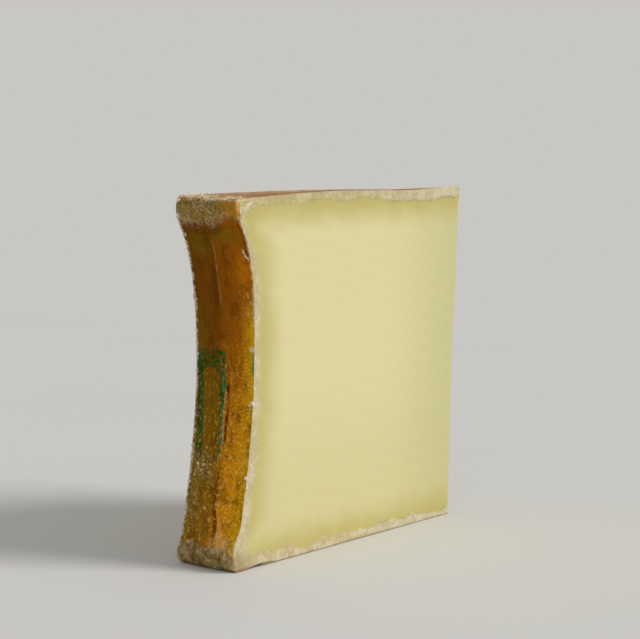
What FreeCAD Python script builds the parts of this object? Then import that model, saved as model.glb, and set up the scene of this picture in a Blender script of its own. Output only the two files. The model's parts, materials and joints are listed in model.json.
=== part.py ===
"""One upright slice of a wheel of beaufort, a hard mountain cheese, as a single solid.

The slice keeps the full height of the wheel and is cut from it by two parallel knife
cuts. Its heel is the side of the wheel, hollowed all round by the wooden hoop that the
fresh curd was pressed in, with an upright lip above, a swelling foot below and the
blunt ridge that a fold of the pressing cloth left in it. The toe is the last cut,
towards the middle of the wheel.

Frame: +X runs from the heel to the toe, +Y from the front cut to the back cut and +Z
up, with the origin on the surface that the slice stands on, under the middle of its box.
"""
import FreeCAD, Part
import math
import os

# Driving dimensions, in millimetres. A pair is the value at the front and the back cut.
WHEEL_RADIUS = 300.0          # of the wheel that the slice was cut from
SLICE_HEIGHT = 140.0          # from one flat rind to the other
SLICE_REACH = 149.7           # from the lip of the heel to the tip of the toe
SLICE_THICKNESS = 29.8        # between the two knife cuts

LIP_LINE = (0.4, -0.9)        # how far the lip stands in from its mean line
LIP_HEIGHT = 6.0              # of the upright band above the hollow of the heel
LIP_ROUND = (1.6, 3.2)        # where that band turns into the top rind
HOLLOW_DEPTH = (9.3, 10.2)    # of the heel's hollow, inwards from the lip's mean line
HOLLOW_HEIGHT = (92.0, 78.0)  # where the hollow is deepest
HOLLOW_FLARE = (2.5, 2.8)     # how late the hollow opens below the lip: a power
HOLLOW_SLOPE = (2.2, 1.7)     # how late it runs out towards the foot: a power
FOOT_HEIGHT = (15.5, 9.5)     # where the heel swells out past the line of the lip
FOOT_TOP = (8.0, 4.2)         # where the foot stands out most
FOOT_REACH = (3.8, 2.3)       # how far it stands out there
FOOT_ROUND = (2.6, 4.4)       # where the foot turns under the slice
FOOT_SINK = 0.3               # how much of that turn the flat base takes off

RIDGE_RISE = 1.3              # of the blunt ridge that the fold of cloth left
RIDGE_ROUND = 1.6             # at the top of that ridge
RIDGE_SHARE = (0.40, 0.56)    # its place at the foot and at the lip, across the slice
CRACK_LOW = 44.0              # the crack in front of the ridge: its ends and its size
CRACK_HIGH = 76.0
CRACK_WIDTH = 1.0
CRACK_DEPTH = 1.7
CRACK_ASIDE = (1.0, 2.4)      # how far it lies from the ridge, at its two ends

TOP_SWELL = 1.4               # of the top rind along the front cut, up to its dip
TOP_DIP_SHARE = 0.76          # where that dip lies, as a share of the reach
TOP_TOE_RISE = 0.8            # from the dip to the toe, along the front cut
TOP_BACK_RISE = 1.0           # of the top rind along the back cut, at the lip
TOP_BACK_FALL = 2.5           # from there to the toe
TOE_LEAN = 7.6                # how much shorter the slice is at the bottom of the toe
TOE_CURVE = 1.6               # how late the toe leans out: a power
TOE_ROUND = 1.5               # where the toe meets the top rind
TOE_BEND = 4.5                # how far under the top rind that rounding begins to show
BASE_ARCH = 0.9               # the low arch under the slice, just inside the foot
BASE_ARCH_SPAN = 28.0         # from the foot to where the slice lies flat
BASE_TRIM = 1.0               # what the flat base takes off the rind's underside

CHIP_REACH = 12.0             # the corner broken off between the lip and the front cut
CHIP_DROP = 8.2
CHIP_DEPTH = 1.1

SECTION_COUNT = 13            # sections from the front cut to the back cut
HEEL_POINTS = 14              # points down the heel of each section, lip to foot
TOP_POINTS = 11               # points along the top rind of each section
TOE_POINTS = 5                # points up the toe of each section, below its rounding
BASE_POINTS = 4               # points under each section's arch, and as many along its flat
TURN_POINTS = 3               # points round each rounded corner of a section
FLOOR_ROOM = 20.0             # how far the block that trims the base reaches past the slice


def mix(pair, share):
    """The value that lies a share of the way from the first of a pair to the second."""
    return pair[0] + (pair[1] - pair[0]) * share


def across(pair, y):
    """The value at y of a size that changes from the front cut to the back cut."""
    return mix(pair, y / SLICE_THICKNESS + 0.5)


def wheel_bow(y):
    """How far the wheel's round side falls back towards the edges of the slice."""
    return WHEEL_RADIUS - math.sqrt(WHEEL_RADIUS ** 2 - y ** 2)


def ridge_place(z):
    """The y of the ridge, which drifts from the foot to the lip."""
    return (mix(RIDGE_SHARE, z / SLICE_HEIGHT) - 0.5) * SLICE_THICKNESS


def ridge_push(y, z):
    """How far the ridge pushes the heel outwards: a tent with a rounded top."""
    aside = y - ridge_place(z)
    slope = (math.hypot(aside, RIDGE_ROUND) - RIDGE_ROUND) / (SLICE_THICKNESS / 2)
    return RIDGE_RISE * (1 - slope)


def heel_depth(y, z):
    """How far the heel lies inside the lip's mean line, between the lip and the foot."""
    deepest = across(HOLLOW_HEIGHT, y)
    if z > deepest:
        lip_bottom = SLICE_HEIGHT - LIP_HEIGHT
        line = across(LIP_LINE, y)
        share = min((z - deepest) / (lip_bottom - deepest), 1.0) ** across(HOLLOW_FLARE, y)
    else:
        line = 0.0
        share = ((deepest - z) / (deepest - across(FOOT_HEIGHT, y))) ** across(HOLLOW_SLOPE, y)
    return mix((across(HOLLOW_DEPTH, y), line), share) + wheel_bow(y) - ridge_push(y, z)


def top_height(x, y):
    """The top rind: a long low swell and a dip in front, and a slow fall behind."""
    share = x / SLICE_REACH
    if share < TOP_DIP_SHARE:
        front = TOP_SWELL * math.sin(math.pi * share / TOP_DIP_SHARE)
    else:
        front = TOP_TOE_RISE * math.sin(math.pi / 2 * (share - TOP_DIP_SHARE) / (1 - TOP_DIP_SHARE))
    back = TOP_BACK_RISE - TOP_BACK_FALL * max(share, 0.0) ** 3
    return SLICE_HEIGHT + across((front, back), y)


def toe_reach(z):
    """The curved last cut, which leans out towards the top."""
    return SLICE_REACH - TOE_LEAN * (1 - max(z / SLICE_HEIGHT, 0.0) ** TOE_CURVE)


def knots_along(points):
    """Knots from 0 to 1, spaced as the points are."""
    lengths = [0.0]
    for start, end in zip(points, points[1:]):
        lengths.append(lengths[-1] + math.dist(start, end))
    return [length / lengths[-1] for length in lengths]


def spline(points, knots, y):
    """A smooth edge in the plane of one section."""
    curve = Part.BSplineCurve()
    places = [FreeCAD.Vector(x, y, z) for x, z in points]
    curve.interpolate(Points=places, Parameters=knots)
    return curve.toShape()


def quarter_turn(centre, radii, start):
    """Points on a quarter of an ellipse, counted on from the start angle in degrees."""
    points = []
    for i in range(TURN_POINTS + 1):
        angle = math.radians(start + 90 * i / TURN_POINTS)
        x = centre[0] + radii[0] * math.cos(angle)
        points.append((x, centre[1] + radii[1] * math.sin(angle)))
    return points


def heel_points(y):
    """The heel from the top rind down: lip, flare, hollow, slope and foot."""
    lip_round = across(LIP_ROUND, y)
    lip_x = heel_depth(y, SLICE_HEIGHT)
    lip_centre = (lip_x + lip_round, top_height(0.0, y) - lip_round)
    points = quarter_turn(lip_centre, (lip_round, lip_round), 90)
    foot_height = across(FOOT_HEIGHT, y)
    for i in range(HEEL_POINTS):
        z = mix((SLICE_HEIGHT - LIP_HEIGHT, foot_height), i / (HEEL_POINTS - 1))
        points.append((heel_depth(y, z), z))
    foot_x = heel_depth(y, foot_height) - across(FOOT_REACH, y)
    foot_radii = (across(FOOT_ROUND, y), across(FOOT_TOP, y))
    foot_centre = (foot_x + foot_radii[0], foot_radii[1] - FOOT_SINK)
    return points + quarter_turn(foot_centre, foot_radii, 180)


def base_points(start):
    """The underside from the foot to the toe: a low arch, then the flat run."""
    points = [start]
    shares = [i / BASE_POINTS for i in range(1, BASE_POINTS + 1)]
    for share in shares:
        lift = (BASE_ARCH + BASE_TRIM) * math.sin(math.pi * share)
        points.append((start[0] + share * BASE_ARCH_SPAN, lift - BASE_TRIM))
    flat = (points[-1][0], toe_reach(0.0))
    for share in shares:
        points.append((mix(flat, share), -BASE_TRIM))
    return points


def toe_points(start, y):
    """The last cut from the base up, and its rounding into the top rind."""
    corner = top_height(SLICE_REACH, y)
    points = [start]
    for i in range(1, TOE_POINTS + 1):
        z = (corner - TOE_BEND) * i / TOE_POINTS
        points.append((toe_reach(z), z))
    centre = (SLICE_REACH - TOE_ROUND, corner - TOE_ROUND)
    return points + quarter_turn(centre, (TOE_ROUND, TOE_ROUND), 0)


def top_points(start, end, y):
    """The top rind from the toe back to the lip."""
    points = [start]
    for i in range(1, TOP_POINTS):
        x = mix((start[0], end[0]), i / TOP_POINTS)
        points.append((x, top_height(x, y)))
    return points + [end]


def outline(y):
    """The heel, base, toe and top rind of the slice in the plane at y, as points."""
    heel = heel_points(y)
    base = base_points(heel[-1])
    toe = toe_points(base[-1], y)
    top = top_points(toe[-1], heel[0], y)
    return heel, base, toe, top


def section(y):
    """The closed outline of the slice at y, with the knots of the middle outline."""
    edges = []
    for points, middle_points in zip(outline(y), outline(0.0)):
        edges.append(spline(points, knots_along(middle_points), y))
    return Part.Wire(edges)


def sliced_body():
    """The outline lofted from the front cut to the back cut, stood on a flat base."""
    places = [(i / (SECTION_COUNT - 1) - 0.5) * SLICE_THICKNESS for i in range(SECTION_COUNT)]
    body = Part.makeLoft([section(y) for y in places], True, False)
    length, width = SLICE_REACH + 2 * FLOOR_ROOM, SLICE_THICKNESS + 2 * FLOOR_ROOM
    floor = Part.makeBox(length, width, FLOOR_ROOM)
    floor.translate(FreeCAD.Vector(-FLOOR_ROOM, -width / 2, -FLOOR_ROOM))
    return body.cut(floor)


def corner_chip():
    """A block whose one face is the break across the lip's front corner."""
    front = -SLICE_THICKNESS / 2
    along_top = FreeCAD.Vector(CHIP_REACH, front, SLICE_HEIGHT)
    down_heel = FreeCAD.Vector(heel_depth(front, SLICE_HEIGHT), front, SLICE_HEIGHT - CHIP_DROP)
    across_lip = FreeCAD.Vector(0, front + CHIP_DEPTH, SLICE_HEIGHT)
    outward = (down_heel - along_top).cross(across_lip - along_top).normalize()
    if outward.z < 0:
        outward = -outward
    size = 4 * CHIP_REACH
    block = Part.makeBox(size, size, size)
    block.translate(FreeCAD.Vector(-size / 2, -size / 2, 0))
    turn = FreeCAD.Rotation(FreeCAD.Vector(0, 0, 1), outward)
    middle = (along_top + down_heel + across_lip) / 3
    block.Placement = FreeCAD.Placement(middle, turn).multiply(block.Placement)
    return block


def crack_blade():
    """A blade with two curved edges, laid along the crack and as deep as it is."""
    ends = []
    for z, aside in zip((CRACK_LOW, CRACK_HIGH), CRACK_ASIDE):
        y = ridge_place(z) - aside
        ends.append(FreeCAD.Vector(heel_depth(y, z) + CRACK_DEPTH, y, z))
    low, high = ends
    middle = (low + high) / 2
    half = FreeCAD.Vector(0, CRACK_WIDTH / 2, 0)
    sides = [Part.Arc(low, middle + half, high), Part.Arc(high, middle - half, low)]
    lens = Part.Face(Part.Wire([side.toShape() for side in sides]))
    return lens.extrude(FreeCAD.Vector(-2 * HOLLOW_DEPTH[1], 0, 0))


def main():
    os.makedirs("parts", exist_ok=True)
    cheese = sliced_body().cut([corner_chip(), crack_blade()])
    cheese = cheese.Solids[0]
    box = cheese.optimalBoundingBox(False, False)
    cheese.translate(FreeCAD.Vector(-box.Center.x, 0, 0))
    cheese.exportStep("parts/cheese.step")
    size = [round(length, 2) for length in (box.XLength, box.YLength, box.ZLength)]
    print("cheese", size, "mm,", round(cheese.Volume / 1000, 1), "ml, valid:", cheese.isValid())


main()
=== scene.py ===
"""An upright slice of beaufort cheese: knife-cut paste, cloth-marked heel rind and dry bloom.

The script is laid out as an add-on. Lengths in its settings are metres, and the shapes are
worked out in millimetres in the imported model's own frame: +X from the heel rind to the toe,
+Y from the front cut to the back cut, +Z up.
"""

import json
import math

import bmesh
import bpy
import numpy as np
from bpy.props import FloatProperty, FloatVectorProperty, IntProperty, PointerProperty
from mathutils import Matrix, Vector
from mathutils.bvhtree import BVHTree

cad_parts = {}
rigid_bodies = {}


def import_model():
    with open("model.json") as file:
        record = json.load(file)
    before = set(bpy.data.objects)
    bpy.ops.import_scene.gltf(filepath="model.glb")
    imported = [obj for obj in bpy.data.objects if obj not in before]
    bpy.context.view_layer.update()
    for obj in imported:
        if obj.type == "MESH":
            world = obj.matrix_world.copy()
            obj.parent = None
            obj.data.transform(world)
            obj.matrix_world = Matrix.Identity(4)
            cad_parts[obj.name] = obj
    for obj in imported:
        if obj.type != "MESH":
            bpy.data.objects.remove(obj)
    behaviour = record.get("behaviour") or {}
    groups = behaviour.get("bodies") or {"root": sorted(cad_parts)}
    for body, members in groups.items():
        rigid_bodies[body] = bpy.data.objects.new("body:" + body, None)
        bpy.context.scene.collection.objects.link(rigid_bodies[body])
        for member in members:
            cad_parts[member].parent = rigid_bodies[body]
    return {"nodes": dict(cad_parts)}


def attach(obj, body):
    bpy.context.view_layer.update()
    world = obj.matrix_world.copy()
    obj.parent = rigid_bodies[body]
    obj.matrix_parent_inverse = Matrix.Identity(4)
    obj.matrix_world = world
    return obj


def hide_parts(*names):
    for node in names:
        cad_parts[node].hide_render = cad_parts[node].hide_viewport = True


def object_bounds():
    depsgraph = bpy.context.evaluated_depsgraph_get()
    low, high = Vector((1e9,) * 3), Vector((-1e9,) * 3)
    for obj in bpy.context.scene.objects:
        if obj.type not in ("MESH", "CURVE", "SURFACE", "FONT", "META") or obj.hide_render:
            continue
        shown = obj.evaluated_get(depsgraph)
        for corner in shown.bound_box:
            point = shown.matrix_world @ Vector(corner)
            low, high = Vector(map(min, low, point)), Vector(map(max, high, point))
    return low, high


bl_info = {
    "name": "Beaufort cheese slice",
    "version": (1, 0, 0),
    "blender": (4, 5, 0),
    "location": "3D View > Sidebar > Cheese",
    "description": "Builds an upright slice of beaufort cheese and a plain stage for it",
    "category": "Object",
}

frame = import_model()
CAD_LOW, CAD_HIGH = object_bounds()

NODE = "cheese"
BODY = "root"
MM = 0.001

# The slice's box in millimetres, and how deep inside it the rays that feel its outline start.
LEFT, FRONT, FLOOR = (value / MM for value in CAD_LOW)
RIGHT, BACK, CROWN = (value / MM for value in CAD_HIGH)
HEEL_CORE = 20.0
CORE = 9.0

# The chip off the front top corner: where the lip's front edge stands, and how far the chip
# runs from there along the top and down the heel.
LIP_LINE = LEFT + 4.5
CHIP_REACH = 12.0
CHIP_DROP = 8.2

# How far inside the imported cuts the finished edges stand, and how far behind the bare rim of
# the cuts the rind starts, so that no pit of a cut shows it.
EDGE_INSET = 0.15
RIND_START = 0.1

# Round the heel the bare rim is this narrow.
HEEL_RIM = 0.06

# How near the toe the rind ends, as a share of the base or of the top.
RIND_END = 0.03

# The paste's wall: its depth where it is bare and where rind hides it, and how far it takes to
# sink from one to the other.
BARE_DEPTH = 0.14
SUNK_DEPTH = 2.0
WALL_STEP = 0.2

# Edges turned more than this stay sharp, as a knife leaves them.
KNIFE_ANGLE = math.radians(55.0)

# The four sides that an outline goes round, by the number each starts at.
BASE, HEEL, TOP, TOE = 0, 1, 2, 3


# ------------------------------------------------------------------ small helpers


def linear(code):
    """An sRGB hex colour such as #DDD4A0 as linear red, green, blue and alpha."""
    channels = [int(code[i : i + 2], 16) / 255 for i in (1, 3, 5)]
    return (
        *(c / 12.92 if c <= 0.04045 else ((c + 0.055) / 1.055) ** 2.4 for c in channels),
        1.0,
    )


def colour(name, description, code):
    """A colour setting whose default is an sRGB hex value."""
    return FloatVectorProperty(
        name=name,
        description=description,
        subtype="COLOR",
        size=4,
        min=0.0,
        max=1.0,
        default=linear(code),
    )


def length(name, description, millimetres):
    """A length setting, shown in the scene's unit."""
    return FloatProperty(
        name=name, description=description, unit="LENGTH", min=0.0, default=millimetres * MM
    )


def share(name, description, value):
    """A setting from 0 to 1."""
    return FloatProperty(
        name=name, description=description, subtype="FACTOR", min=0.0, max=1.0, default=value
    )


def angle(name, description, degrees):
    """An angle setting, shown in degrees."""
    return FloatProperty(
        name=name, description=description, subtype="ANGLE", default=math.radians(degrees)
    )


def number(name, description, value):
    """A whole number setting."""
    return IntProperty(name=name, description=description, min=0, default=value)


def ease(low, high, value):
    """0 below low and 1 above high, with a smooth change between; low may be the larger."""
    t = np.clip((value - low) / (high - low), 0.0, 1.0)
    return t * t * (3.0 - 2.0 * t)


def band(value, low, high, soft):
    """1 from low to high, fading to 0 over soft outside them."""
    return ease(low - soft, low, value) * ease(high + soft, high, value)


def mix(a, b, t):
    """The value t of the way from a to b."""
    return a + (b - a) * t


# Random fields repeat after this many lumps.
LATTICE = 97


def noise(u, v, size, seed):
    """A smooth random field from -1 to 1 over u and v, with lumps about size across."""
    lattice = np.random.default_rng(seed).uniform(-1.0, 1.0, (LATTICE, LATTICE))
    i, j = np.floor(u / size), np.floor(v / size)
    s, t = ease(0.0, 1.0, u / size - i), ease(0.0, 1.0, v / size - j)
    i, j = i.astype(int) % LATTICE, j.astype(int) % LATTICE
    p, q = (i + 1) % LATTICE, (j + 1) % LATTICE
    low = mix(lattice[i, j], lattice[p, j], s)
    high = mix(lattice[i, q], lattice[p, q], s)
    return mix(low, high, t)


def crumble(u, v, size, seed, layers=3):
    """Noise whose finer layers, each half the size and strength of the one before, roughen it."""
    total = sum(
        noise(u, v, size / 2**layer, seed + layer) / 2**layer for layer in range(layers)
    )
    return total / sum(1 / 2**layer for layer in range(layers))


def grains(u, v, size, seed, largest=0.5):
    """Scattered rounded grains, one to a cell of the given size: 1 at a middle, 0 outside."""
    rng = np.random.default_rng(seed)
    middle = rng.uniform(0.0, 1.0, (2, LATTICE, LATTICE))
    radius = largest * rng.uniform(0.05, 1.0, (LATTICE, LATTICE))
    i, j = np.floor(u / size), np.floor(v / size)
    s, t = u / size - i, v / size - j
    i, j = i.astype(int), j.astype(int)
    height = np.zeros_like(s)
    for di in (-1, 0, 1):
        for dj in (-1, 0, 1):
            cell = (i + di) % LATTICE, (j + dj) % LATTICE
            away = np.hypot(di + middle[0][cell] - s, dj + middle[1][cell] - t)
            height = np.maximum(height, 1.0 - away / radius[cell])
    return height


def blur(values, axis, passes):
    """Evens values out along one axis; each pass is a 1-2-1 average that keeps the ends."""
    values = np.moveaxis(values, axis, 0).copy()
    for _ in range(passes):
        values[1:-1] = (values[:-2] + 2.0 * values[1:-1] + values[2:]) / 4.0
    return np.moveaxis(values, 0, axis)


def object_from(name, points, faces, attributes=None):
    """An object at the origin from points in millimetres, faces and per-point values."""
    mesh = bpy.data.meshes.new(name)
    mesh.from_pydata((np.asarray(points) * MM).tolist(), [], faces)
    for key, values in (attributes or {}).items():
        layer = mesh.attributes.new(key, "FLOAT", "POINT")
        layer.data.foreach_set("value", np.asarray(values, np.float32).ravel())
    mesh.validate()
    mesh.shade_smooth()
    made = bpy.data.objects.new(name, mesh)
    bpy.context.scene.collection.objects.link(made)
    return made


def flatten(obj):
    """Turns an object's modifiers into its own mesh."""
    graph = bpy.context.evaluated_depsgraph_get()
    mesh = bpy.data.meshes.new_from_object(obj.evaluated_get(graph), depsgraph=graph)
    obj.modifiers.clear()
    obj.data = mesh
    mesh.name = obj.name
    return obj


def outward(obj):
    """Turns a closed mesh's faces outward."""
    work = bmesh.new()
    work.from_mesh(obj.data)
    bmesh.ops.recalc_face_normals(work, faces=work.faces)
    work.to_mesh(obj.data)
    work.free()


def mesh_points(obj):
    """An object's points in millimetres, one row each."""
    flat = np.empty(len(obj.data.vertices) * 3)
    obj.data.vertices.foreach_get("co", flat)
    return flat.reshape(-1, 3) / MM


def set_mask(obj, name, values):
    """Writes a per-point value on an object's mesh."""
    layer = obj.data.attributes.get(name) or obj.data.attributes.new(name, "FLOAT", "POINT")
    layer.data.foreach_set("value", np.asarray(values, np.float32))


def get_mask(obj, name):
    """Reads a per-point value from an object's mesh."""
    values = np.empty(len(obj.data.vertices), np.float32)
    obj.data.attributes[name].data.foreach_get("value", values)
    return values


def keep_inside(obj):
    """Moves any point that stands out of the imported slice's box back to the box."""
    inside = np.clip(mesh_points(obj), (LEFT, FRONT, FLOOR), (RIGHT, BACK, CROWN)) * MM
    obj.data.vertices.foreach_set("co", inside.astype(np.float32).ravel())


def quads(index):
    """The quads of a grid of point numbers, wound from its first axis to its second."""
    corners = index[:-1, :-1], index[1:, :-1], index[1:, 1:], index[:-1, 1:]
    return np.stack([c.ravel() for c in corners], 1).tolist()


def add(tree, kind, values=None, **settings):
    """Adds a node. values fill its sockets, each with a value or another node's output."""
    made = tree.nodes.new(kind)
    for name, setting in settings.items():
        setattr(made, name, setting)
    for socket, value in (values or {}).items():
        if isinstance(value, bpy.types.NodeSocket):
            tree.links.new(value, made.inputs[socket])
        else:
            made.inputs[socket].default_value = value
    return made


# ------------------------------------------------------------------ feeling the outline


class Outline:
    """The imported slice's skin, felt by rays: points over places along it and columns across it.

    place runs round the section: BASE from the toe to the heel, HEEL up, TOP back to the toe
    and TOE down, each from one corner to the next.
    """

    # Spacing of the rays on the heel, on the other sides, and across the slice.
    FINE, COARSE, ACROSS = 0.25, 0.8, 0.3
    # Rays fan out over each corner: this many past the corners of the base and the heel.
    FAN, FEW = 90, 40
    # The outermost columns stand this far inside the cuts.
    MARGIN = 0.05

    def __init__(self, spacing):
        mesh = frame["nodes"][NODE].data
        points = [v.co / MM for v in mesh.vertices]
        faces = [tuple(p.vertices) for p in mesh.polygons]
        self.tree = BVHTree.FromPolygons(points, faces)
        starts, ways, self.place = self._rays(self.FINE * spacing, self.COARSE * spacing)
        count = int(round((BACK - FRONT) / (self.ACROSS * spacing)))
        self.columns = np.linspace(FRONT + self.MARGIN, BACK - self.MARGIN, count)
        felt = np.array(
            [[self._felt(s, w, y) for y in self.columns] for s, w in zip(starts, ways)]
        )
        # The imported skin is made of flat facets; a light blur rounds them off.
        self.points = blur(blur(felt, 0, 6), 1, 6)
        self.inward = -np.array(ways)

    def _rays(self, fine, coarse):
        """Ray starts and directions, as (x, z) pairs, and places, from the toe's foot round."""
        low, high = FLOOR + CORE, CROWN - CORE
        heel = LEFT + HEEL_CORE
        corners = [(heel, low), (heel, high)]
        # The toe leans, so its own two corners are felt first.
        for near, up in ((high, 1.0), (low, -1.0)):
            x = self._felt((heel, near + up * (CORE - 3.0)), (1.0, 0.0), 0.0)[0]
            z = self._felt((x - 3.0, near), (0.0, up), 0.0)[1]
            corners.append((x - CORE, z - up * CORE))
        corners = corners[-1:] + corners[:-1]
        starts, ways, places = [], [], []
        for side in (BASE, HEEL, TOP, TOE):
            begin = np.array(corners[side])
            end = np.array(corners[(side + 1) % 4])
            turn = -90.0 - 90.0 * side
            fan = self.FAN if side in (BASE, HEEL) else self.FEW
            opening = np.linspace(45.0, 0.0, fan, endpoint=False)
            run = int(np.linalg.norm(end - begin) / (fine if side == HEEL else coarse))
            closing = np.linspace(0.0, -45.0, fan)[1:]
            for angle, at in (
                [(turn + a, begin) for a in opening]
                + [(turn, mix(begin, end, t)) for t in np.linspace(0.0, 1.0, run)]
                + [(turn + a, end) for a in closing[:-1]]
            ):
                radians = math.radians(angle)
                starts.append(at)
                ways.append((math.cos(radians), math.sin(radians)))
            total = len(starts) - len(places)
            places.extend(side + np.arange(total) / total)
        return starts, ways, np.array(places)

    def _felt(self, start, way, y):
        """Where a ray from inside the slice meets its skin, as (x, z)."""
        hit = self.tree.ray_cast(Vector((start[0], y, start[1])), Vector((way[0], 0.0, way[1])))
        if hit[0] is None:
            raise RuntimeError(f"the slice's skin was not found at y {y:.1f}")
        return hit[0].x, hit[0].z

    def spread(self, spacing):
        """Places, points and inward directions again, spacing(place) apart along the skin."""
        middle = self.points.mean(1)
        gaps = np.linalg.norm(np.diff(middle, axis=0), axis=1)
        step = np.array([spacing(p) for p in self.place])
        count = np.concatenate([[0.0], np.cumsum(gaps / step[1:])])
        at = np.linspace(0.0, count[-1], int(round(count[-1])) + 1)
        return self._pick(at, count)

    def corners_apart(self, sides):
        """Places and points with a set number of steps on each side, corner to corner."""
        middle = self.points.mean(1)
        gaps = np.linalg.norm(np.diff(middle, axis=0), axis=1)
        run = np.concatenate([[0.0], np.cumsum(gaps)])
        closing = np.linalg.norm(middle[0] - middle[-1])
        marks = [np.interp(side, self.place, run) for side in range(4)] + [run[-1] + closing]
        at = np.concatenate(
            [np.linspace(marks[s], marks[s + 1], sides[s], endpoint=False) for s in range(4)]
        )
        return self._pick(at, run)

    def _pick(self, at, run):
        """Places, points and inward directions at the given runs along the skin."""
        place = np.interp(at, run, self.place)
        flat = self.points.reshape(len(self.points), -1)
        points = np.stack([np.interp(at, run, flat[:, k]) for k in range(flat.shape[1])], 1)
        inward = np.stack([np.interp(at, run, self.inward[:, k]) for k in (0, 1)], 1)
        inward /= np.linalg.norm(inward, axis=1, keepdims=True)
        return place, points.reshape(len(at), len(self.columns), 2), inward

    def at(self, points, y):
        """Skin points (x, y, z) where each row of points crosses its row of y values."""
        step = self.columns[1] - self.columns[0]
        t = np.clip((y - self.columns[0]) / step, 0.0, len(self.columns) - 1.001)
        j = t.astype(int)
        rows = np.arange(len(points))[:, None]
        xz = mix(points[rows, j], points[rows, j + 1], (t - j)[..., None])
        return np.stack([xz[..., 0], y, xz[..., 1]], -1)

    def borders(self, points, inward):
        """Where the front and the back cut meet the skin at each place, as y values."""
        found = []
        for column, side in ((3, -1), (-4, 1)):
            probe = points[:, column] + 0.8 * inward
            found.append(self.cut(probe[:, 0], probe[:, 1], side))
        return found

    def cut(self, x, z, side):
        """Where the front cut (side -1) or the back cut (side 1) lies at each x and z."""
        away = side * (BACK - FRONT)
        way = Vector((0.0, -side, 0.0))
        flat = FRONT if side < 0 else BACK
        found = np.full(np.shape(x), flat)
        for k, (px, pz) in enumerate(zip(np.ravel(x), np.ravel(z))):
            hit = self.tree.ray_cast(Vector((px, away, pz)), way)
            if hit[0] is not None:
                found.flat[k] = hit[0].y
        return found


# ------------------------------------------------------------------ settings


class CheesePasteSettings(bpy.types.PropertyGroup):
    """The cut paste and the crust at its edges."""

    grid: length("Grid", "Spacing of the cut faces' points", 0.45)
    set_back: length("Set back", "How far the paste lies behind the crust round it", 0.3)
    heel_crust: length("Heel crust", "Width of the crumbly crust beside the heel", 3.7)
    top_crust: length("Top crust", "Depth of the dry crust under the top rind", 3.4)
    base_crust: length("Base crust", "Height of the dry crust over the lower rind", 4.9)
    lump: length("Lump", "Width of the larger bumps of the lower crust's edge", 7.0)
    under_rind: length("Under-rind", "How far the darker paste under the rind reaches", 14.0)
    drag: length("Drag marks", "Spacing of the faint marks that the knife left", 7.0)
    triangles: number("Triangles", "Most triangles of the paste", 188000)
    heart: colour("Heart", "Paste in the middle of the wheel's section", "#DED59F")
    heart_low: colour("Low heart", "Paste toward the base", "#D7CD97")
    rind_side: colour("Under-rind", "Olive paste under the rind", "#BFB164")
    dried: colour("Dried", "Paste dried toward the toe", "#C6C18A")
    crust: colour("Crust", "Crumbly crust at the cut's edges", "#C0B284")
    crust_pale: colour("Pale crust", "White crumbs of the crust", "#D6CCAA")
    crust_rosy: colour("Rosy crust", "Pink-tinged crust over the lower rind", "#C6B08A")
    crust_toe: colour("Toe crust", "Greyer crust toward the toe", "#C2BA98")
    fringe: colour("Fringe", "Dirty olive line along the crust's border", "#A19A60")
    skin: colour("Skin", "Amber rind smeared over the cut's rim", "#B4721E")
    corner: colour("Corner", "Darker crust at the front foot of the heel", "#A38F66")
    sole: colour("Sole", "Brown line of the rind under the crust", "#7D5F3C")


class CheeseRindSettings(bpy.types.PropertyGroup):
    """The rind round the heel, top and base."""

    grid: length("Grid", "Spacing of the heel's points", 0.3)
    thickness: length("Thickness", "Depth of the rind's skin", 1.3)
    thread: length("Cloth thread", "Spacing of the cloth's threads pressed into the heel", 1.5)
    press: length("Cloth depth", "Depth of the cloth's marks", 0.12)
    lip_low: length("Lip", "Height at which the lip's crust ends", 130.5)
    foot_high: length("Foot", "Height at which the foot's crust ends", 8.9)
    stamp_low: length("Stamp foot", "Height of the stamp frame's lower end", 41.0)
    stamp_high: length("Stamp head", "Height of the stamp frame's upper end", 83.0)
    stamp_near: length("Stamp near side", "Frame's near side from the front cut", 12.5)
    stamp_far: length("Stamp far side", "Frame's far side from the front cut", 27.8)
    upper_far: colour("Upper far rind", "Smeared rind high on the far half", "#804A05")
    upper_near: colour("Upper near rind", "Smeared rind high on the near half", "#A25C08")
    lower_far: colour("Lower far rind", "Smeared rind low on the far half", "#A17212")
    lower_near: colour("Lower near rind", "Amber rind low on the near half", "#EE9E10")
    edge: colour("Edge rind", "Bright amber rind along the front cut", "#E6AA12")
    # Painted glow: orange painted where light would come through the thin front edge.
    glow: colour("Glow", "Orange rind where light comes through the thin front edge", "#DA7E12")
    olive: colour("Olive", "Green-brown tint of the damp rind", "#6E6808")
    # Partly the dark red-brown of rubbed rind and of cloth marks, partly painted shade beside the
    # fold's crest and the groove.
    umber: colour("Umber", "Dark red-brown of rubbed folds", "#6A3404")
    smear: colour("Smear", "Dark brown of rubbed streaks and specks", "#5E3604")
    gold: colour("Gold fleck", "Yellow flecks of dry rind", "#FFCB4E")
    fleck: colour("Fleck", "Pale dry flecks", "#FFD692")
    lip: colour("Lip crust", "Grey-olive crust round the lip", "#97762E")
    amber: colour("Lip amber", "Rubbed amber end of the lip", "#BE8218")
    foot: colour("Foot crust", "Grey-brown crust of the foot", "#A08654")
    ash: colour("Foot ash", "Grey smudges of old bloom on the foot", "#C9B68E")
    crust_dark: colour("Dark crust", "Hollows of the lip's and foot's crust", "#53390C")
    flat: colour("Flat rind", "Red-brown rind of the top and the base", "#A27348")
    dusting: colour("Dusting", "Dry lilac-white bloom", "#E6D6BC")
    ink: colour("Ink", "Green food ink of the stamp", "#0E4A12")
    ink_bright: colour("Thick ink", "Blue-green of the ink where it lies thick", "#0AB070")
    # Painted shade: the dark of the crack, the groove and the torn place under the lip stands for
    # the shade in them.
    crack: colour("Crack", "Dark red-brown bottom of cracks", "#5A1E04")


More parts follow.
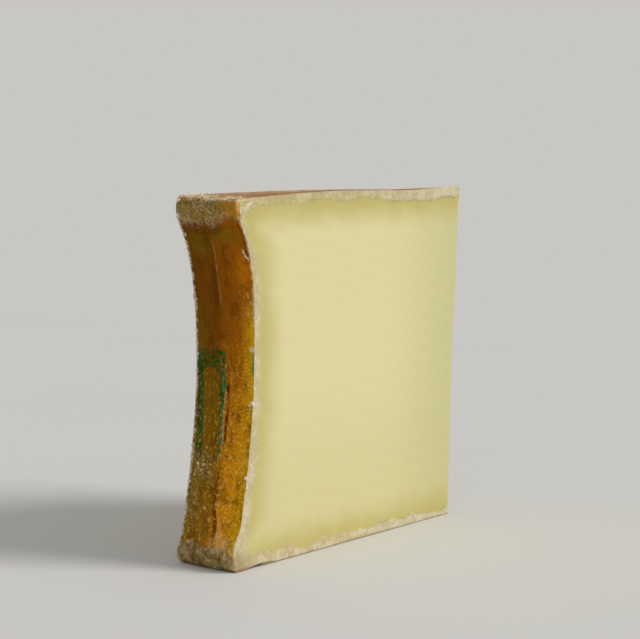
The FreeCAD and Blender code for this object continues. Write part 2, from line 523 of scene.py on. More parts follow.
class CheeseBloomSettings(bpy.types.PropertyGroup):
    """Loose grains of bloom and crumbs of crust."""

    grain: length("Grain", "Usual size of one grain on the rind", 0.44)
    crumb: length("Crumb", "Usual size of one crumb on the crust", 0.4125)
    tuft: length("Tuft", "Usual size of a clotted grain on the heel's edges", 0.75)
    grains: number("Grains", "Most grains on a square metre of rind", 900000)
    crumbs: number("Crumbs", "Most crumbs on a square metre of crust", 1100000)
    tufts: number("Tufts", "Most grains on a square metre of a tuft", 3600000)
    seed: number("Seed", "Changes where the grains lie", 4)
    pale: colour("Pale grain", "White grains of bloom", "#ECE2CC")
    rosy: colour("Rosy grain", "Pink grains of bloom", "#D9B8A2")
    golden: colour("Golden grain", "Yellow grains of crust", "#D2B45E")
    crumb_pale: colour("Pale crumb", "Pale crumbs of crust", "#DDD3BA")
    crumb_straw: colour("Straw crumb", "Straw-coloured crumbs of crust", "#CDBE93")
    crumb_grey: colour("Grey crumb", "Greyer crumbs of crust", "#D9CDB4")


class CheeseFlakeSettings(bpy.types.PropertyGroup):
    """The torn tongue of rind that stands off the heel's front edge."""

    high: length("High end", "Height of the tongue's root", 121.8)
    low: length("Low end", "Height of the tongue's tip", 116.4)
    reach: length("Reach", "How far from the front cut the root lies", 3.0)
    width: length("Width", "Width of the tongue", 1.2)
    thickness: length("Thickness", "Thickness of the tongue", 0.45)
    lift: length("Lift", "How far its middle stands off the heel", 1.1)
    pale: colour("Pale side", "Dry pale rind of the tongue", "#DCCDA8")
    brown: colour("Brown side", "Amber rind that stayed on it", "#A87838")


class CheeseStageSettings(bpy.types.PropertyGroup):
    """The plain floor, the light and the camera."""

    floor: colour("Floor", "Plain pale floor", "#DBD9D4")
    backdrop: colour("Backdrop", "Plain pale wall far behind the floor", "#C9C7C2")
    sweep_near: length("Sweep start", "Where the floor starts to turn into the backdrop", 700.0)
    sweep_far: length("Sweep end", "Where nothing but the backdrop is left", 2400.0)
    key: FloatProperty(name="Key light", description="Strength of the key light", default=2.1)
    softness: angle("Softness", "How wide the key light is, as an angle in the sky", 24.0)
    fill: share("Fill light", "Strength of the light from all round", 0.5)
    sky: colour("Fill colour", "Colour of the light from all round", "#F4F5F6")
    azimuth: angle("Azimuth", "Camera's bearing round the slice", -53.05)
    elevation: angle("Elevation", "Camera's angle above the floor", 5.75)
    distance: length("Distance", "From the camera to the point it looks at", 750.0)
    lens: FloatProperty(name="Lens", description="Focal length in millimetres", default=115.3)


# ------------------------------------------------------------------ the paste

# Each cut's crust and knife marks come from its own run of random fields.
FRONT_SEED, BACK_SEED = 20, 40


def edges_of(outline):
    """The outline's four sides as (x, z) lists at the front cut and at the back cut."""
    sides = {}
    for side in (BASE, HEEL, TOP, TOE):
        picked = (outline.place >= side) & (outline.place < side + 1)
        sides[side] = outline.points[picked][:, [1, -2]]
    return sides


def edge_distances(outline, points):
    """How far each point is from the heel, the top, the base and the toe, in millimetres."""
    x, y, z = points.T
    across = np.clip((y - FRONT) / (BACK - FRONT), 0.0, 1.0)
    sides = edges_of(outline)

    def read(side, along, value):
        found = []
        for end in (0, 1):
            line = sides[side][:, end]
            order = np.argsort(line[:, 1 - value])
            found.append(np.interp(along, line[order, 1 - value], line[order, value]))
        return mix(found[0], found[1], across)

    return {
        "from_heel": x - read(HEEL, z, 0),
        "from_top": read(TOP, x, 1) - z,
        "from_base": z - read(BASE, x, 1),
        "from_toe": read(TOE, z, 0) - x,
    }


def bare_rim(x, z, side):
    """Width of bare crust between the rind's edge and the cut, at each (x, z) of the skin."""
    run = x + z
    seed = 11 if side < 0 else 13
    rim = 0.62 + 0.2 * noise(run, run * 0, 3.1, seed) + 0.12 * noise(run, run * 0, 1.0, seed + 1)
    # Round the heel the rind reaches almost to the cut.
    return mix(HEEL_RIM, rim, ease(LEFT + 12.0, LEFT + 18.0, x))


def chip_cover(points):
    """Two masks of the chipped front top corner: its whole facet, and a painted highlight along
    the facet's edge.
    """
    x, y, z = points.T
    slope = (CROWN - z) / CHIP_DROP + (x - LIP_LINE) / CHIP_REACH
    front = y < 0.0
    return ease(1.02, 0.94, slope) * front, ease(0.13, 0.04, np.abs(slope - 1.0)) * front


def crust_cover(settings, points, away, seed):
    """How much each point of a cut is crust: 1 by the rind, 0 on clean paste."""
    x, _, z = points.T
    heel = settings.heel_crust / MM * (1.0 + 0.3 * noise(z, x * 0, 9.0, seed))
    heel = heel - 0.9 * ease(85.0, 125.0, z) + 3.4 * ease(24.0, 4.0, z)
    top = settings.top_crust / MM * (1.0 + 0.35 * crumble(x, z * 0, 9.0, seed + 1))
    top = top + 0.9 * ease(20.0, 60.0, x)
    lumps = crumble(x, z * 0, settings.lump / MM, seed + 2)
    base = settings.base_crust / MM * (0.95 + 0.4 * lumps) - 0.012 * (x - LEFT)
    rough = 0.9 * crumble(x, z, 2.2, seed + 3)
    worn_thin = 0.55 + 0.35 * ease(-0.4, 0.5, crumble(x, z * 2.0, 6.0, seed + 4))
    worn_thin = mix(worn_thin, 0.95, ease(10.0, 30.0, x))
    cover = np.maximum.reduce(
        [
            0.92 * ease(2.2, -1.8, away["from_heel"] - heel - 1.4 * rough),
            worn_thin * ease(0.7, -0.7, away["from_top"] - top - rough),
            ease(0.8, -0.8, away["from_base"] - base - 0.6 * rough),
        ]
    )
    facet, _ = chip_cover(points)
    return cover * (1.0 - 0.75 * facet)


def cut_relief(settings, points, away, seed):
    """How far behind the cut plane each point of a cut face lies, in millimetres."""
    x, _, z = points.T
    crust = crust_cover(settings, points, away, seed)
    # Knife drag: long faint waves that fall a little toward the toe.
    waves = 2 * math.pi * (z + 0.26 * x + 1.5 * noise(x, z, 40.0, seed + 5))
    drag = np.sin(waves / (settings.drag / MM))
    paste = settings.set_back / MM + 0.025 * drag + 0.012 * crumble(x, z, 3.0, seed + 6)
    crumbs = crumble(x, z, 1.5, seed + 7, 4)
    pits = grains(x, z, 2.6, seed + 8, 0.4)
    edge = np.minimum.reduce(list(away.values()))
    rough = 0.12 - 0.12 * crumbs + 0.22 * pits * pits * ease(0.8, 2.0, edge)
    facet, edge_highlight = chip_cover(points)
    # Along the chip facet's edge, where a pale highlight is painted, the surface stands a little
    # proud.
    rough = mix(rough, 0.02 + 0.05 * crumbs, facet) - 0.02 * edge_highlight
    return mix(paste, rough, crust) + 0.22 * ease(0.6, 0.0, edge) ** 2


def ring_columns(front, back, near_rim, far_rim, middle):
    """Where a ring of wall points lies across the slice, and how sunk each column is."""
    overlap = 0.06
    hidden = RIND_START + overlap + WALL_STEP
    inner = np.linspace(0.0, 1.0, middle)[None, :]
    near = (front + near_rim + hidden)[:, None]
    far = (back - far_rim - hidden)[:, None]
    covered = near - WALL_STEP, mix(near, far, inner), far + WALL_STEP
    y = np.concatenate([front[:, None], *covered, back[:, None]], 1)
    sunk = np.concatenate([[0.0, 0.0], np.ones(middle), [0.0, 0.0]])
    return y, sunk


def coons(loop, wide, high):
    """A grid of (x, z) points inside a loop of wide, high, wide and high steps."""
    base = loop[: wide + 1][::-1]
    heel = loop[wide : wide + high + 1]
    top = loop[wide + high : 2 * wide + high + 1]
    toe = np.concatenate([loop[2 * wide + high :], loop[:1]])[::-1]
    u = np.linspace(0.0, 1.0, wide + 1)[:, None, None]
    v = np.linspace(0.0, 1.0, high + 1)[None, :, None]
    across = mix(heel[None, :], toe[None, :], u)
    up = mix(base[:, None], top[:, None], v)
    twist = mix(mix(base[0], base[-1], u), mix(top[0], top[-1], u), v)
    return across + up - twist


def build_paste(settings, outline):
    """The paste as one closed body: two cut faces, the toe, and walls sunk under the rind."""
    grid = settings.grid / MM * 1.0
    wide = int((RIGHT - LEFT) / grid)
    high = int((CROWN - FLOOR) / grid)
    place, points, inward = outline.corners_apart((wide, high, wide, high))
    total = len(place)
    run = np.arange(total) * grid
    front, back = outline.borders(points, inward)
    near = bare_rim(*points[:, 0].T, -1)
    far = bare_rim(*points[:, -1].T, 1)
    front, back = front + EDGE_INSET, back - EDGE_INSET
    y, sunk = ring_columns(front, back, near, far, 24)
    ring = outline.at(points, y)
    # Under the rind the wall is sunk out of sight; the toe has no rind, so there it isn't.
    toe_gap = np.minimum(np.abs(place - TOE), np.minimum(place, 4.0 - place))
    covered = np.where(place > TOE, 0.0, ease(RIND_END + 0.004, RIND_END + 0.014, toe_gap))
    ragged = BARE_DEPTH + BARE_DEPTH * crumble(run, run * 0, 1.7, 13)
    wall = 0.05 * crumble(*np.broadcast_arrays(run[:, None], y), 2.0, 14)
    toe = ease(TOE, TOE + 0.03, place) * ease(4.0, 3.97, place)
    ragged = mix(ragged, BARE_DEPTH, toe)
    wall = wall * mix(1.0, 0.4, toe)[:, None]
    depth = mix(ragged[:, None], SUNK_DEPTH, covered[:, None] * sunk[None, :]) + wall
    ring[..., 0] += inward[:, 0, None] * depth
    ring[..., 2] += inward[:, 1, None] * depth
    index = np.arange(ring.size // 3).reshape(ring.shape[:2])
    pool = [ring.reshape(-1, 3)]
    faces = quads(np.concatenate([index, index[:1]]))
    for column, side, seed in ((0, -1, FRONT_SEED), (-1, 1, BACK_SEED)):
        loop = ring[:, column][:, [0, 2]]
        flat = coons(loop, wide, high)
        inner = flat[1:-1, 1:-1].reshape(-1, 2)
        cut = outline.cut(inner[:, 0], inner[:, 1], side)
        cells = np.stack([inner[:, 0], cut, inner[:, 1]], 1)
        relief = cut_relief(settings, cells, edge_distances(outline, cells), seed)
        cells[:, 1] -= side * relief
        numbers = np.empty(flat.shape[:2], int)
        border = index[:, column]
        numbers[:, 0] = border[: wide + 1][::-1]
        numbers[0, :] = border[wide : wide + high + 1]
        numbers[:, -1] = border[wide + high : 2 * wide + high + 1]
        numbers[-1, :] = np.append(border[2 * wide + high :], border[0])[::-1]
        start = sum(len(p) for p in pool)
        numbers[1:-1, 1:-1] = start + np.arange(len(inner)).reshape(wide - 1, high - 1)
        faces += quads(numbers if side < 0 else numbers[::-1])
        pool.append(cells)
    body = object_from("cheese_paste", np.concatenate(pool), faces)
    thin = body.modifiers.new("Thin", "DECIMATE")
    thin.ratio = min(1.0, settings.triangles / (2 * len(faces)))
    flatten(body)
    keep_inside(body)
    body.data.shade_smooth()
    body.data.set_sharp_from_angle(angle=KNIFE_ANGLE)
    set_paste_masks(settings, outline, body)
    return body


def set_paste_masks(settings, outline, body):
    """Writes on the paste how far each point is from its edges, and where crust and rind show."""
    spots = mesh_points(body)
    x, y, z = spots.T
    away = edge_distances(outline, spots)
    crust = np.where(
        y < 0.0,
        crust_cover(settings, spots, away, FRONT_SEED),
        crust_cover(settings, spots, away, BACK_SEED),
    )
    # The rim behind the cut is bare crust, smeared with rind only in the hollow under the lip
    # and in one streak along the base.
    rim = np.minimum(y - FRONT, BACK - y)
    outer = np.minimum.reduce([away["from_heel"], away["from_top"], away["from_base"]])
    skin = band(z, 100.0, 114.0, 5.0) * ease(0.5, 0.3, away["from_heel"])
    streak = band(x, LEFT + 80.0, LEFT + 91.0, 4.0) * ease(2.4, 0.6, away["from_base"])
    facet, edge_highlight = chip_cover(spots)
    edge = 0.7 * ease(0.35, 0.15, away["from_heel"]) * ease(0.16, 0.3, rim) * (1.0 - facet)
    skin = np.maximum.reduce([skin * ease(0.3, 0.5, rim), 0.35 * streak, edge])
    fringe = 4.0 * crust * (1.0 - crust) * (away["from_heel"] > 9.0)
    fringe = fringe * ease(-0.5, 0.4, crumble(x, z, 2.5, 16)) * mix(0.35, 0.8, ease(0.0, 30.0, x))
    patchy = ease(-0.3, 0.3, noise(x, z, 1.1, 15))
    masks = {
        **away,
        "crust": np.maximum(crust, ease(0.9, 0.6, rim) * ease(0.6, 0.4, outer)),
        "skin": skin,
        "fringe": fringe,
        # A painted highlight along the chip's edge, in pale crust colour.
        "chip_edge": edge_highlight * (0.5 + 0.5 * patchy),
    }
    for key, values in masks.items():
        set_mask(body, key, values)


# ------------------------------------------------------------------ the rind


def spot(a, z, at, size):
    """A soft patch round at, 1 in its middle and 0 outside its size across and up."""
    return ease(1.0, 0.25, np.hypot((a - at[0]) / size[0], (z - at[1]) / size[1]))


# Where ink ran or spattered round the stamp: (across, height), (reach across, reach up) and
# strength.
DRIPS = (
    ((16.8, 40.5), (2.0, 1.6), 1.0),
    ((10.4, 43.0), (1.6, 1.8), 1.0),
    ((11.8, 38.4), (2.2, 1.6), 0.8),
    ((5.1, 107.2), (1.3, 1.2), 0.6),
    ((2.8, 81.4), (1.3, 1.6), 1.0),
)


def stamp_zones(settings, a, z):
    """The worn stamp frame, a head and two legs with no letters: ink, and where it lies thick."""
    low_end, high_end = settings.stamp_low / MM, settings.stamp_high / MM
    near, far = settings.stamp_near / MM, settings.stamp_far / MM
    arch = high_end - 7.0 - 0.1 * (a - 21.5) ** 2
    blots = ease(-0.15, 0.45, crumble(a, z, 1.5, 64))
    head = band(z, arch, high_end - 1.2, 0.9) * band(a, near + 1.6, far + 0.4, 0.8)
    near_leg = near + 2.1
    near_half = 0.85 + 0.5 * band(z, 64.0, 71.0, 3.0)
    far_leg = far - 0.7 - 0.045 * (high_end - 8.0 - z)
    rough = 0.4 * crumble(a, z, 1.6, 73)
    legs = np.maximum(
        ease(0.4, -0.3, np.abs(a - near_leg) - near_half + rough),
        ease(0.6, -0.4, np.abs(a - far_leg) - 1.5 + rough),
    )
    legs = legs * band(z + 4.0 * rough, low_end, high_end - 4.0, 1.2)
    worn = 0.45 + 0.55 * ease(-0.5, 0.0, crumble(a, z, 1.3, 70))
    edge_mark = ease(1.9, 0.7, a + rough) * band(z + 2.0 * rough, 74.5, 81.0, 1.2)
    drips = np.maximum.reduce([most * spot(a, z, at, size) for at, size, most in DRIPS])
    head = head * mix(0.45, 0.95, blots)
    ink = np.maximum.reduce([head, legs * worn, edge_mark * worn, drips * blots])
    pooled = ease(-0.4, 0.4, crumble(a, z, 3.4, 71))
    thick = np.maximum(
        0.5 * ease(0.5, -0.4, np.abs(a - near_leg + 0.2) - 0.6 + rough),
        0.2 * ease(0.5, -0.5, np.abs(a - far_leg) - 0.6 + rough),
    )
    return ink, np.maximum(thick * pooled, edge_mark)


def groove_at(z):
    """How far from the front cut the groove over the foot runs, at each height."""
    return 11.4 + 0.0125 * (z - 10.0) ** 2


def tint_zones(a, z, wander, ragged):
    """Where the smeared rind is amber, golden, damp and olive, or dark, and where glow and shade
    are painted.

    The near half is more amber, past a step at the fold; the foot of the heel is more golden;
    the far half is damp and olive; umber is partly dark rubbed rind and partly painted shade on
    the far side of the fold's crest and beside the groove; and an orange glow is painted where
    light would come through the thin front edge.
    """
    step = ease(16.4, 15.4, a + 0.5 * wander)
    near = 0.45 * step + 0.55 * ease(17.0, 6.0, a + 1.5 * wander)
    low = ease(96.0, 28.0, z + 6.0 * wander)
    edge = ease(8.0, 0.5, a + 1.2 * wander) * ease(112.0, 90.0, z + 4.0 * ragged)
    edge = edge * ease(4.0, 10.0, z)
    olive = np.maximum.reduce(
        [
            0.4 * band(z, 122.0, 127.0, 6.0) * ease(14.5, 17.0, a),
            0.45 * band(z + wander, 125.0, 128.0, 2.5) * band(a, 5.0, 12.0, 4.0),
            0.6 * spot(a, z, (24.0, 35.0), (10.0, 13.0)),
            0.45 * ease(20.0, 28.0, a) * band(z, 20.0, 86.0, 16.0),
            0.3 * band(a, 16.0, 26.0, 2.0) * band(z, 46.0, 72.0, 5.0),
            0.6 * ease(0.1, 0.6, noise(a, z, 3.4, 81)) * ease(3.5, 0.5, a) * ease(70.0, 55.0, z),
        ]
    )
    shade_beside_groove = ease(1.5, 0.3, np.abs(a - groove_at(z) - 0.5))
    # Umber: partly dark rubbed rind, partly painted shade on the far side of the fold's crest and
    # beside the groove.
    umber = np.maximum.reduce(
        [
            0.75 * band(a + 0.3 * wander, 16.4, 18.4, 0.9) * band(z, 101.0, 112.0, 4.0),
            0.7 * band(a, 13.4, 15.6, 1.4) * band(z, 26.0, 34.0, 5.0),
            0.8 * shade_beside_groove * band(z, 12.0, 24.0, 3.0),
            0.5 * band(z, 127.0, 130.0, 1.5) * ease(8.0, 13.0, a),
            0.35 * ease(-0.1, 0.6, noise(a, z * 0.4, 3.5, 77)) * ease(12.0, 16.0, a),
        ]
    )
    # Painted glow: orange where light would come through the thin front edge.
    glow = spot(a, z, (2.0, 112.0), (7.0, 13.0))
    glow = glow + 0.4 * ease(2.0, 0.6, a) * band(z, 96.0, 104.0, 4.0)
    return {
        "low": low,
        "near": near,
        "near_low": near * low,
        "edge": edge,
        "olive": olive,
        "umber": umber,
        "glow": np.clip(glow, 0.0, 1.0) * 0.6,
    }


def fold_zones(a, z, wander, ragged):
    """The crack and groove, painted dark as shade; the fold's crest and shoulders, painted pale
    as highlight, with pale frayed rind along the front edge; and painted shade in the torn place
    under the lip.
    """
    crack_line = 12.3 - 0.9 * np.exp(-(((z - 62.0) / 3.0) ** 2)) + 0.15 * np.sin(z * 1.7)
    # Painted shade: the crack, and the groove below, are sunk and also painted dark for the shade
    # in them.
    crack = ease(0.42, 0.12, np.abs(a - crack_line)) * band(z, 49.0, 68.0, 2.5)
    groove_line = groove_at(z)
    groove = ease(0.9, 0.2, np.abs(a - groove_line)) * band(z, 11.0, 22.0, 4.0)
    # Painted highlight: a pale line along the fold's crest, which also stands a little proud.
    ridge_line = 15.1 + 0.6 * np.sin((z - 99.0) * math.pi / 24.0)
    broken = mix(0.4, 1.0, ease(-0.5, 0.3, noise(z, a, 1.3, 63)))
    ridge = ease(0.42, 0.12, np.abs(a - ridge_line)) * band(z, 101.0, 121.0, 3.0) * broken
    frayed = ease(1.3, 0.5, a + 0.8 * crumble(a, z, 1.6, 82))
    # Pale shoulders: painted highlight beside the groove and at the lip's front corner, and pale
    # rind at the foot's front corner and along the frayed front edge.
    shoulder_highlight = np.maximum.reduce(
        [
            0.4 * ease(1.3, 0.2, np.abs(a - groove_line + 1.7)) * band(z, 10.0, 18.0, 3.0),
            0.7 * spot(a, z, (8.0, 10.5), (6.5, 4.5)),
            0.65 * ease(3.6, 0.8, a + 0.8 * wander) * ease(12.0, 6.0, z),
            0.8 * ease(2.6, 0.6, a + 0.6 * wander) * ease(131.0, 134.0, z),
            0.9 * frayed * band(z, 92.0, 131.0, 4.0),
        ]
    )
    # Painted shade in the torn place under the lip, which is also sunk a little.
    scar = ease(2.0, 0.8, a + 0.5 * wander) * band(z, 121.0, 131.0, 2.5)
    return {
        "crack": np.maximum(crack, 0.35 * groove),
        "scar": scar * 0.65,
        "ridge": np.maximum(ridge * 0.2, 0.8 * shoulder_highlight * ease(-0.7, 0.3, ragged)),
    }


def cloth_zone(settings, a, z, ragged):
    """Cloth marks: short dark dashes in rows, clearest along the front edge."""
    thread = settings.thread / MM
    sway = 0.3 * noise(a, z, 7.0, 61)
    column = a / (2.2 * thread) + sway
    warp = 0.5 + 0.5 * np.cos(2 * math.pi * column)
    row = z / thread + sway + 0.5 * np.floor(column)
    weft = 0.5 + 0.5 * np.cos(2 * math.pi * row)
    patch = ease(-0.7, 0.4, noise(a, z, 3.0, 62)) * ease(-0.7, 0.3, ragged)
    cloth = ease(0.0, 0.7, warp) * ease(0.3, 0.95, weft) * patch
    cloth = cloth * mix(0.2, 1.0, ease(12.0, 6.0, a)) * ease(108.0, 94.0, z)
    return cloth * mix(0.4, 1.0, ease(40.0, 60.0, z))


def scratch_zone(a, z, wander, lip_edge):
    """Scratches that run up and across the lip, and end raggedly below it."""
    along, over = (a + z) / math.sqrt(2.0), (a - z) / math.sqrt(2.0)
    scratch = ease(-0.1, 0.6, noise(along / 1.7, over, 0.5, 57) + 0.3 * wander)
    scratch = np.maximum(scratch, 0.8 * ease(0.1, 0.7, noise(a, z, 0.7, 56)))
    scratch = scratch * ease(-0.6, 0.4, crumble(a, z, 3.0, 58))
    scratch = scratch * ease(lip_edge - 2.6, lip_edge + 0.6, z)
    return scratch * mix(0.35, 1.0, ease(5.0, 12.0, a + 2.0 * wander))


def dusting_zone(place, a, z, run, wander, lip, near_crumbs):
    """Bloom on the lip's rim, the low far patch, the far edge, the top and in loose specks."""
    fine = grains(a, z, 0.9, 65, 0.5)
    coarse = grains(a, z, 1.7, 66, 0.42)
    rim = ease(138.9, 139.9, z) * ease(2.12, 2.05, place)
    low_patch = spot(a, z, (22.0, 37.0), (8.0, 8.0)) + 0.4 * spot(a, z, (26.0, 23.0), (6.0, 12.0))
    far_edge = ease(28.2, 29.2, a + 0.5 * wander) * (1 - lip)
    loose = ease(60.0, 18.0, z) * mix(0.3, 1.0, ease(6.0, 20.0, a))
    loose = loose * ease(-0.2, 0.5, noise(a, z, 6.0, 78))
    beside_leg = 0.8 * band(a, 13.2, 13.5, 0.35) * band(z, 46.0, 66.0, 2.0)
    dusting = np.maximum.reduce(
        [
            0.75 * rim * ease(-0.5, 0.2, crumble(a, run, 1.8, 75)),
            low_patch * np.maximum(0.5 * ease(0.0, 0.5, fine), 0.8 * ease(0.0, 0.4, coarse)),
            far_edge * ease(-0.4, 0.3, crumble(a, z, 1.6, 76)),
            0.06 * loose * ease(0.1, 0.5, coarse),
            0.6 * beside_leg * ease(-0.3, 0.4, noise(a, z, 0.8, 79)),
            spot(a, z, (1.2, 83.2), (1.8, 1.6)),
            0.2 * near_crumbs * ease(0.15, 0.5, coarse),
            0.3 * ease(2.0, 2.03, place) * ease(0.1, 0.8, crumble(run, a, 6.0, 69)),
        ]
    )
    return np.clip(dusting, 0.0, 1.0)


def rind_zones(settings, place, a, z, run):
    """How strongly each kind of rind, mark and dusting shows at each point, 0 to 1.

    a is the distance from the front cut, z the height and run the distance round the skin,
    all in millimetres.
    """
    heel_side = ease(0.94, 1.0, place) * ease(2.06, 2.0, place)
    wander = crumble(a, z, 7.0, 60)
    ragged = crumble(a, z, 2.2, 59)
    lip_edge = settings.lip_low / MM + 1.4 * wander + 1.2 * ragged + 3.0 * ease(10.0, 5.0, a)
    lip = ease(lip_edge - 1.2, lip_edge + 1.6, z) * ease(2.06, 2.0, place)
    lip_amber = lip * ease(11.0, 5.0, a + 2.5 * wander) * ease(140.3, 138.0, z + 1.5 * ragged)
    lip_amber = lip_amber * mix(0.45, 0.95, ease(-0.3, 0.4, crumble(a, z, 2.4, 80)))
    foot_edge = settings.foot_high / MM + 0.8 * np.cos((a - 24.0) * 2 * math.pi / 15.0)
    foot_edge = foot_edge - 2.2 * ease(4.0, 0.0, a) + 0.8 * wander + 0.5 * ragged
    foot = ease(foot_edge + 0.6, foot_edge - 0.6, z) * ease(0.9, 0.96, place) * (place < TOP)
    smeared = (1 - lip) * (1 - foot)
    ink, thick_ink = stamp_zones(settings, a, z)
    near_crumbs = band(a, 0.5, 7.5, 1.5) * band(z, 96.0, 103.0, 3.0)
    tints = tint_zones(a, z, wander, ragged)
    return {
        **tints,
        **fold_zones(a, z, wander, ragged),
        "lip": lip,
        "lip_amber": lip_amber,
        "foot": foot,
        "flat": 1.0 - heel_side,
        "gold": mix(0.08, 0.9, ease(104.0, 45.0, z)) * mix(0.45, 1.0, tints["near"]),
        "flecks": mix(0.05, 0.8, ease(88.0, 30.0, z)) + 0.5 * near_crumbs,
        "scratch": 0.5 * scratch_zone(a, z, wander, lip_edge),
        "cloth": 0.8 * cloth_zone(settings, a, z, ragged) * smeared,
        "ink": ink * smeared * heel_side,
        "thick_ink": thick_ink,
        "dusting": dusting_zone(place, a, z, run, wander, lip, near_crumbs),
    }


def build_rind(settings, outline):
    """The rind as one closed skin: base, heel and top, with its edges at the cuts."""
    fine = settings.grid / MM * 1.0

    def spacing(place):
        if 0.93 < place < 2.08:
            return fine
        return 1.2 if place < 1.0 else 0.8

    place, points, inward = outline.spread(spacing)
    keep = (place > RIND_END) & (place < TOE - RIND_END)
    place, points, inward = place[keep], points[keep], inward[keep]
    middle = points.mean(1)
    run = np.concatenate([[0.0], np.cumsum(np.linalg.norm(np.diff(middle, axis=0), axis=1))])
    front, back = outline.borders(points, inward)
    front = front + EDGE_INSET + bare_rim(*points[:, 0].T, -1) + RIND_START
    back = back - EDGE_INSET - bare_rim(*points[:, -1].T, 1) - RIND_START
    count = int((BACK - FRONT) / fine)
    y = mix(front[:, None], back[:, None], np.linspace(0.0, 1.0, count)[None, :])
    skin = outline.at(points, y)
    along = np.gradient(skin, axis=0)
    over = np.gradient(skin, axis=1)
    out = np.cross(along, over)
    out /= np.linalg.norm(out, axis=2, keepdims=True)
    if np.sum(out[..., ::2] * inward[:, None, :]) > 0.0:
        out = -out
    across = y - FRONT
    places = np.broadcast_to(place[:, None], y.shape)
    runs = np.broadcast_to(run[:, None], y.shape)
    zone = rind_zones(settings, places, across, skin[..., 2], runs)

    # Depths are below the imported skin, so that the finished rind stays inside its box.
    rough = crumble(runs, across, 1.8, 52)
    crusty = np.maximum(zone["lip"], zone["foot"])
    depth = 0.14 + 0.06 * rough
    depth = depth + crusty * (0.12 - 0.2 * rough) - 0.16 * zone["scratch"]
    depth = depth + settings.press / MM * zone["cloth"]
    # The crack and the torn place sink and carry painted shade; the ridge stands proud and
    # carries a painted highlight.
    depth = depth + 0.7 * zone["crack"] + 0.35 * zone["scar"] - 0.16 * zone["ridge"]
    depth = depth - 0.14 * zone["dusting"] * (0.5 + grains(runs, across, 0.9, 54))
    depth = depth - 0.05 * zone["flecks"] * grains(runs, across, 1.5, 56)
    depth = depth + zone["flat"] * (0.05 - 0.12 * crumble(runs, across, 5.0, 55))
    skin = skin - out * depth[..., None]

    rows, columns = y.shape
    thick = settings.thickness / MM
    inner = skin[:, [0, -1]] + (inward * thick)[:, None, [0, 0, 1]] * [1.0, 0.0, 1.0]
    outer_index = np.arange(rows * columns).reshape(rows, columns)
    inner_index = rows * columns + np.arange(rows * 2).reshape(rows, 2)
    ring = np.concatenate([outer_index, inner_index[:, ::-1], outer_index[:, :1]], 1)
    faces = quads(ring)
    faces.append(ring[0, :-1].tolist())
    faces.append(ring[-1, :-1][::-1].tolist())
    points_all = np.concatenate([skin.reshape(-1, 3), inner.reshape(-1, 3)])
    attributes = {
        key: np.concatenate([values.ravel(), values[:, [0, -1]].ravel()])
        for key, values in zone.items()
    }
    rind = object_from("cheese_rind", points_all, faces, attributes)
    keep_inside(rind)
    outward(rind)
    rind.data.set_sharp_from_angle(angle=KNIFE_ANGLE)
    return rind


# ------------------------------------------------------------------ the torn flake


def build_flake(settings, outline):
    """A thin curled tongue, closed, whose root and tip touch the heel's front edge."""
    stations, sides = 26, 10
    t = np.linspace(0.0, 1.0, stations)
    height = mix(settings.high, settings.low, t) / MM
    heel = edges_of(outline)[HEEL][:, 0]
    order = np.argsort(heel[:, 1])
    arch = np.sin(math.pi * t)
    x = np.interp(height, heel[order, 1], heel[order, 0]) - settings.lift / MM * arch + 0.1
    across = FRONT + 0.35 + mix(settings.reach / MM, 0.0, t**0.8)
    middle = np.stack([x, across, height], 1)
    middle[:, 2] += 0.3 * noise(t * 9.0, t * 0, 1.0, 90)
    way = np.gradient(middle, axis=0)
    way /= np.linalg.norm(way, axis=1, keepdims=True)
    over = np.cross(way, [-1.0, 0.0, 0.0])
    over /= np.linalg.norm(over, axis=1, keepdims=True)
    out = np.cross(over, way)
    taper = np.sqrt(np.clip(arch, 0.02, 1.0)) * (0.75 + 0.5 * noise(t * 17.0, t * 0, 1.0, 91))
    turn = np.linspace(0.0, 2 * math.pi, sides, endpoint=False)
    wide = 0.5 * settings.width / MM * taper[:, None] * np.cos(turn)
    deep = 0.5 * settings.thickness / MM * taper[:, None] * np.sin(turn)
    rings = middle[:, None] + over[:, None] * wide[..., None] + out[:, None] * deep[..., None]
    rings[..., 1] = np.maximum(rings[..., 1], FRONT)
    index = np.arange(stations * sides).reshape(stations, sides)
    faces = quads(np.concatenate([index, index[:, :1]], 1))
    faces += [index[0].tolist(), index[-1][::-1].tolist()]
    flake = object_from("cheese_flake", rings.reshape(-1, 3), faces)
    outward(flake)
    return flake


# ------------------------------------------------------------------ materials


def new_material(name):
    """A material, its node tree, its Principled shader and the Object coordinates."""
    material = bpy.data.materials.new(name)
    material.use_nodes = True
    tree = material.node_tree
    shader = tree.nodes["Principled BSDF"]
    where = add(tree, "ShaderNodeTexCoord").outputs["Object"]
    return material, tree, shader, where


def per(millimetres):
    """A texture scale whose pattern repeats about once in that many millimetres."""
    return 1.0 / (millimetres * MM)


PASTE_MASKS = (
    "from_heel",
    "from_top",
    "from_base",
    "from_toe",
    "crust",
    "skin",
    "fringe",
    "chip_edge",
)


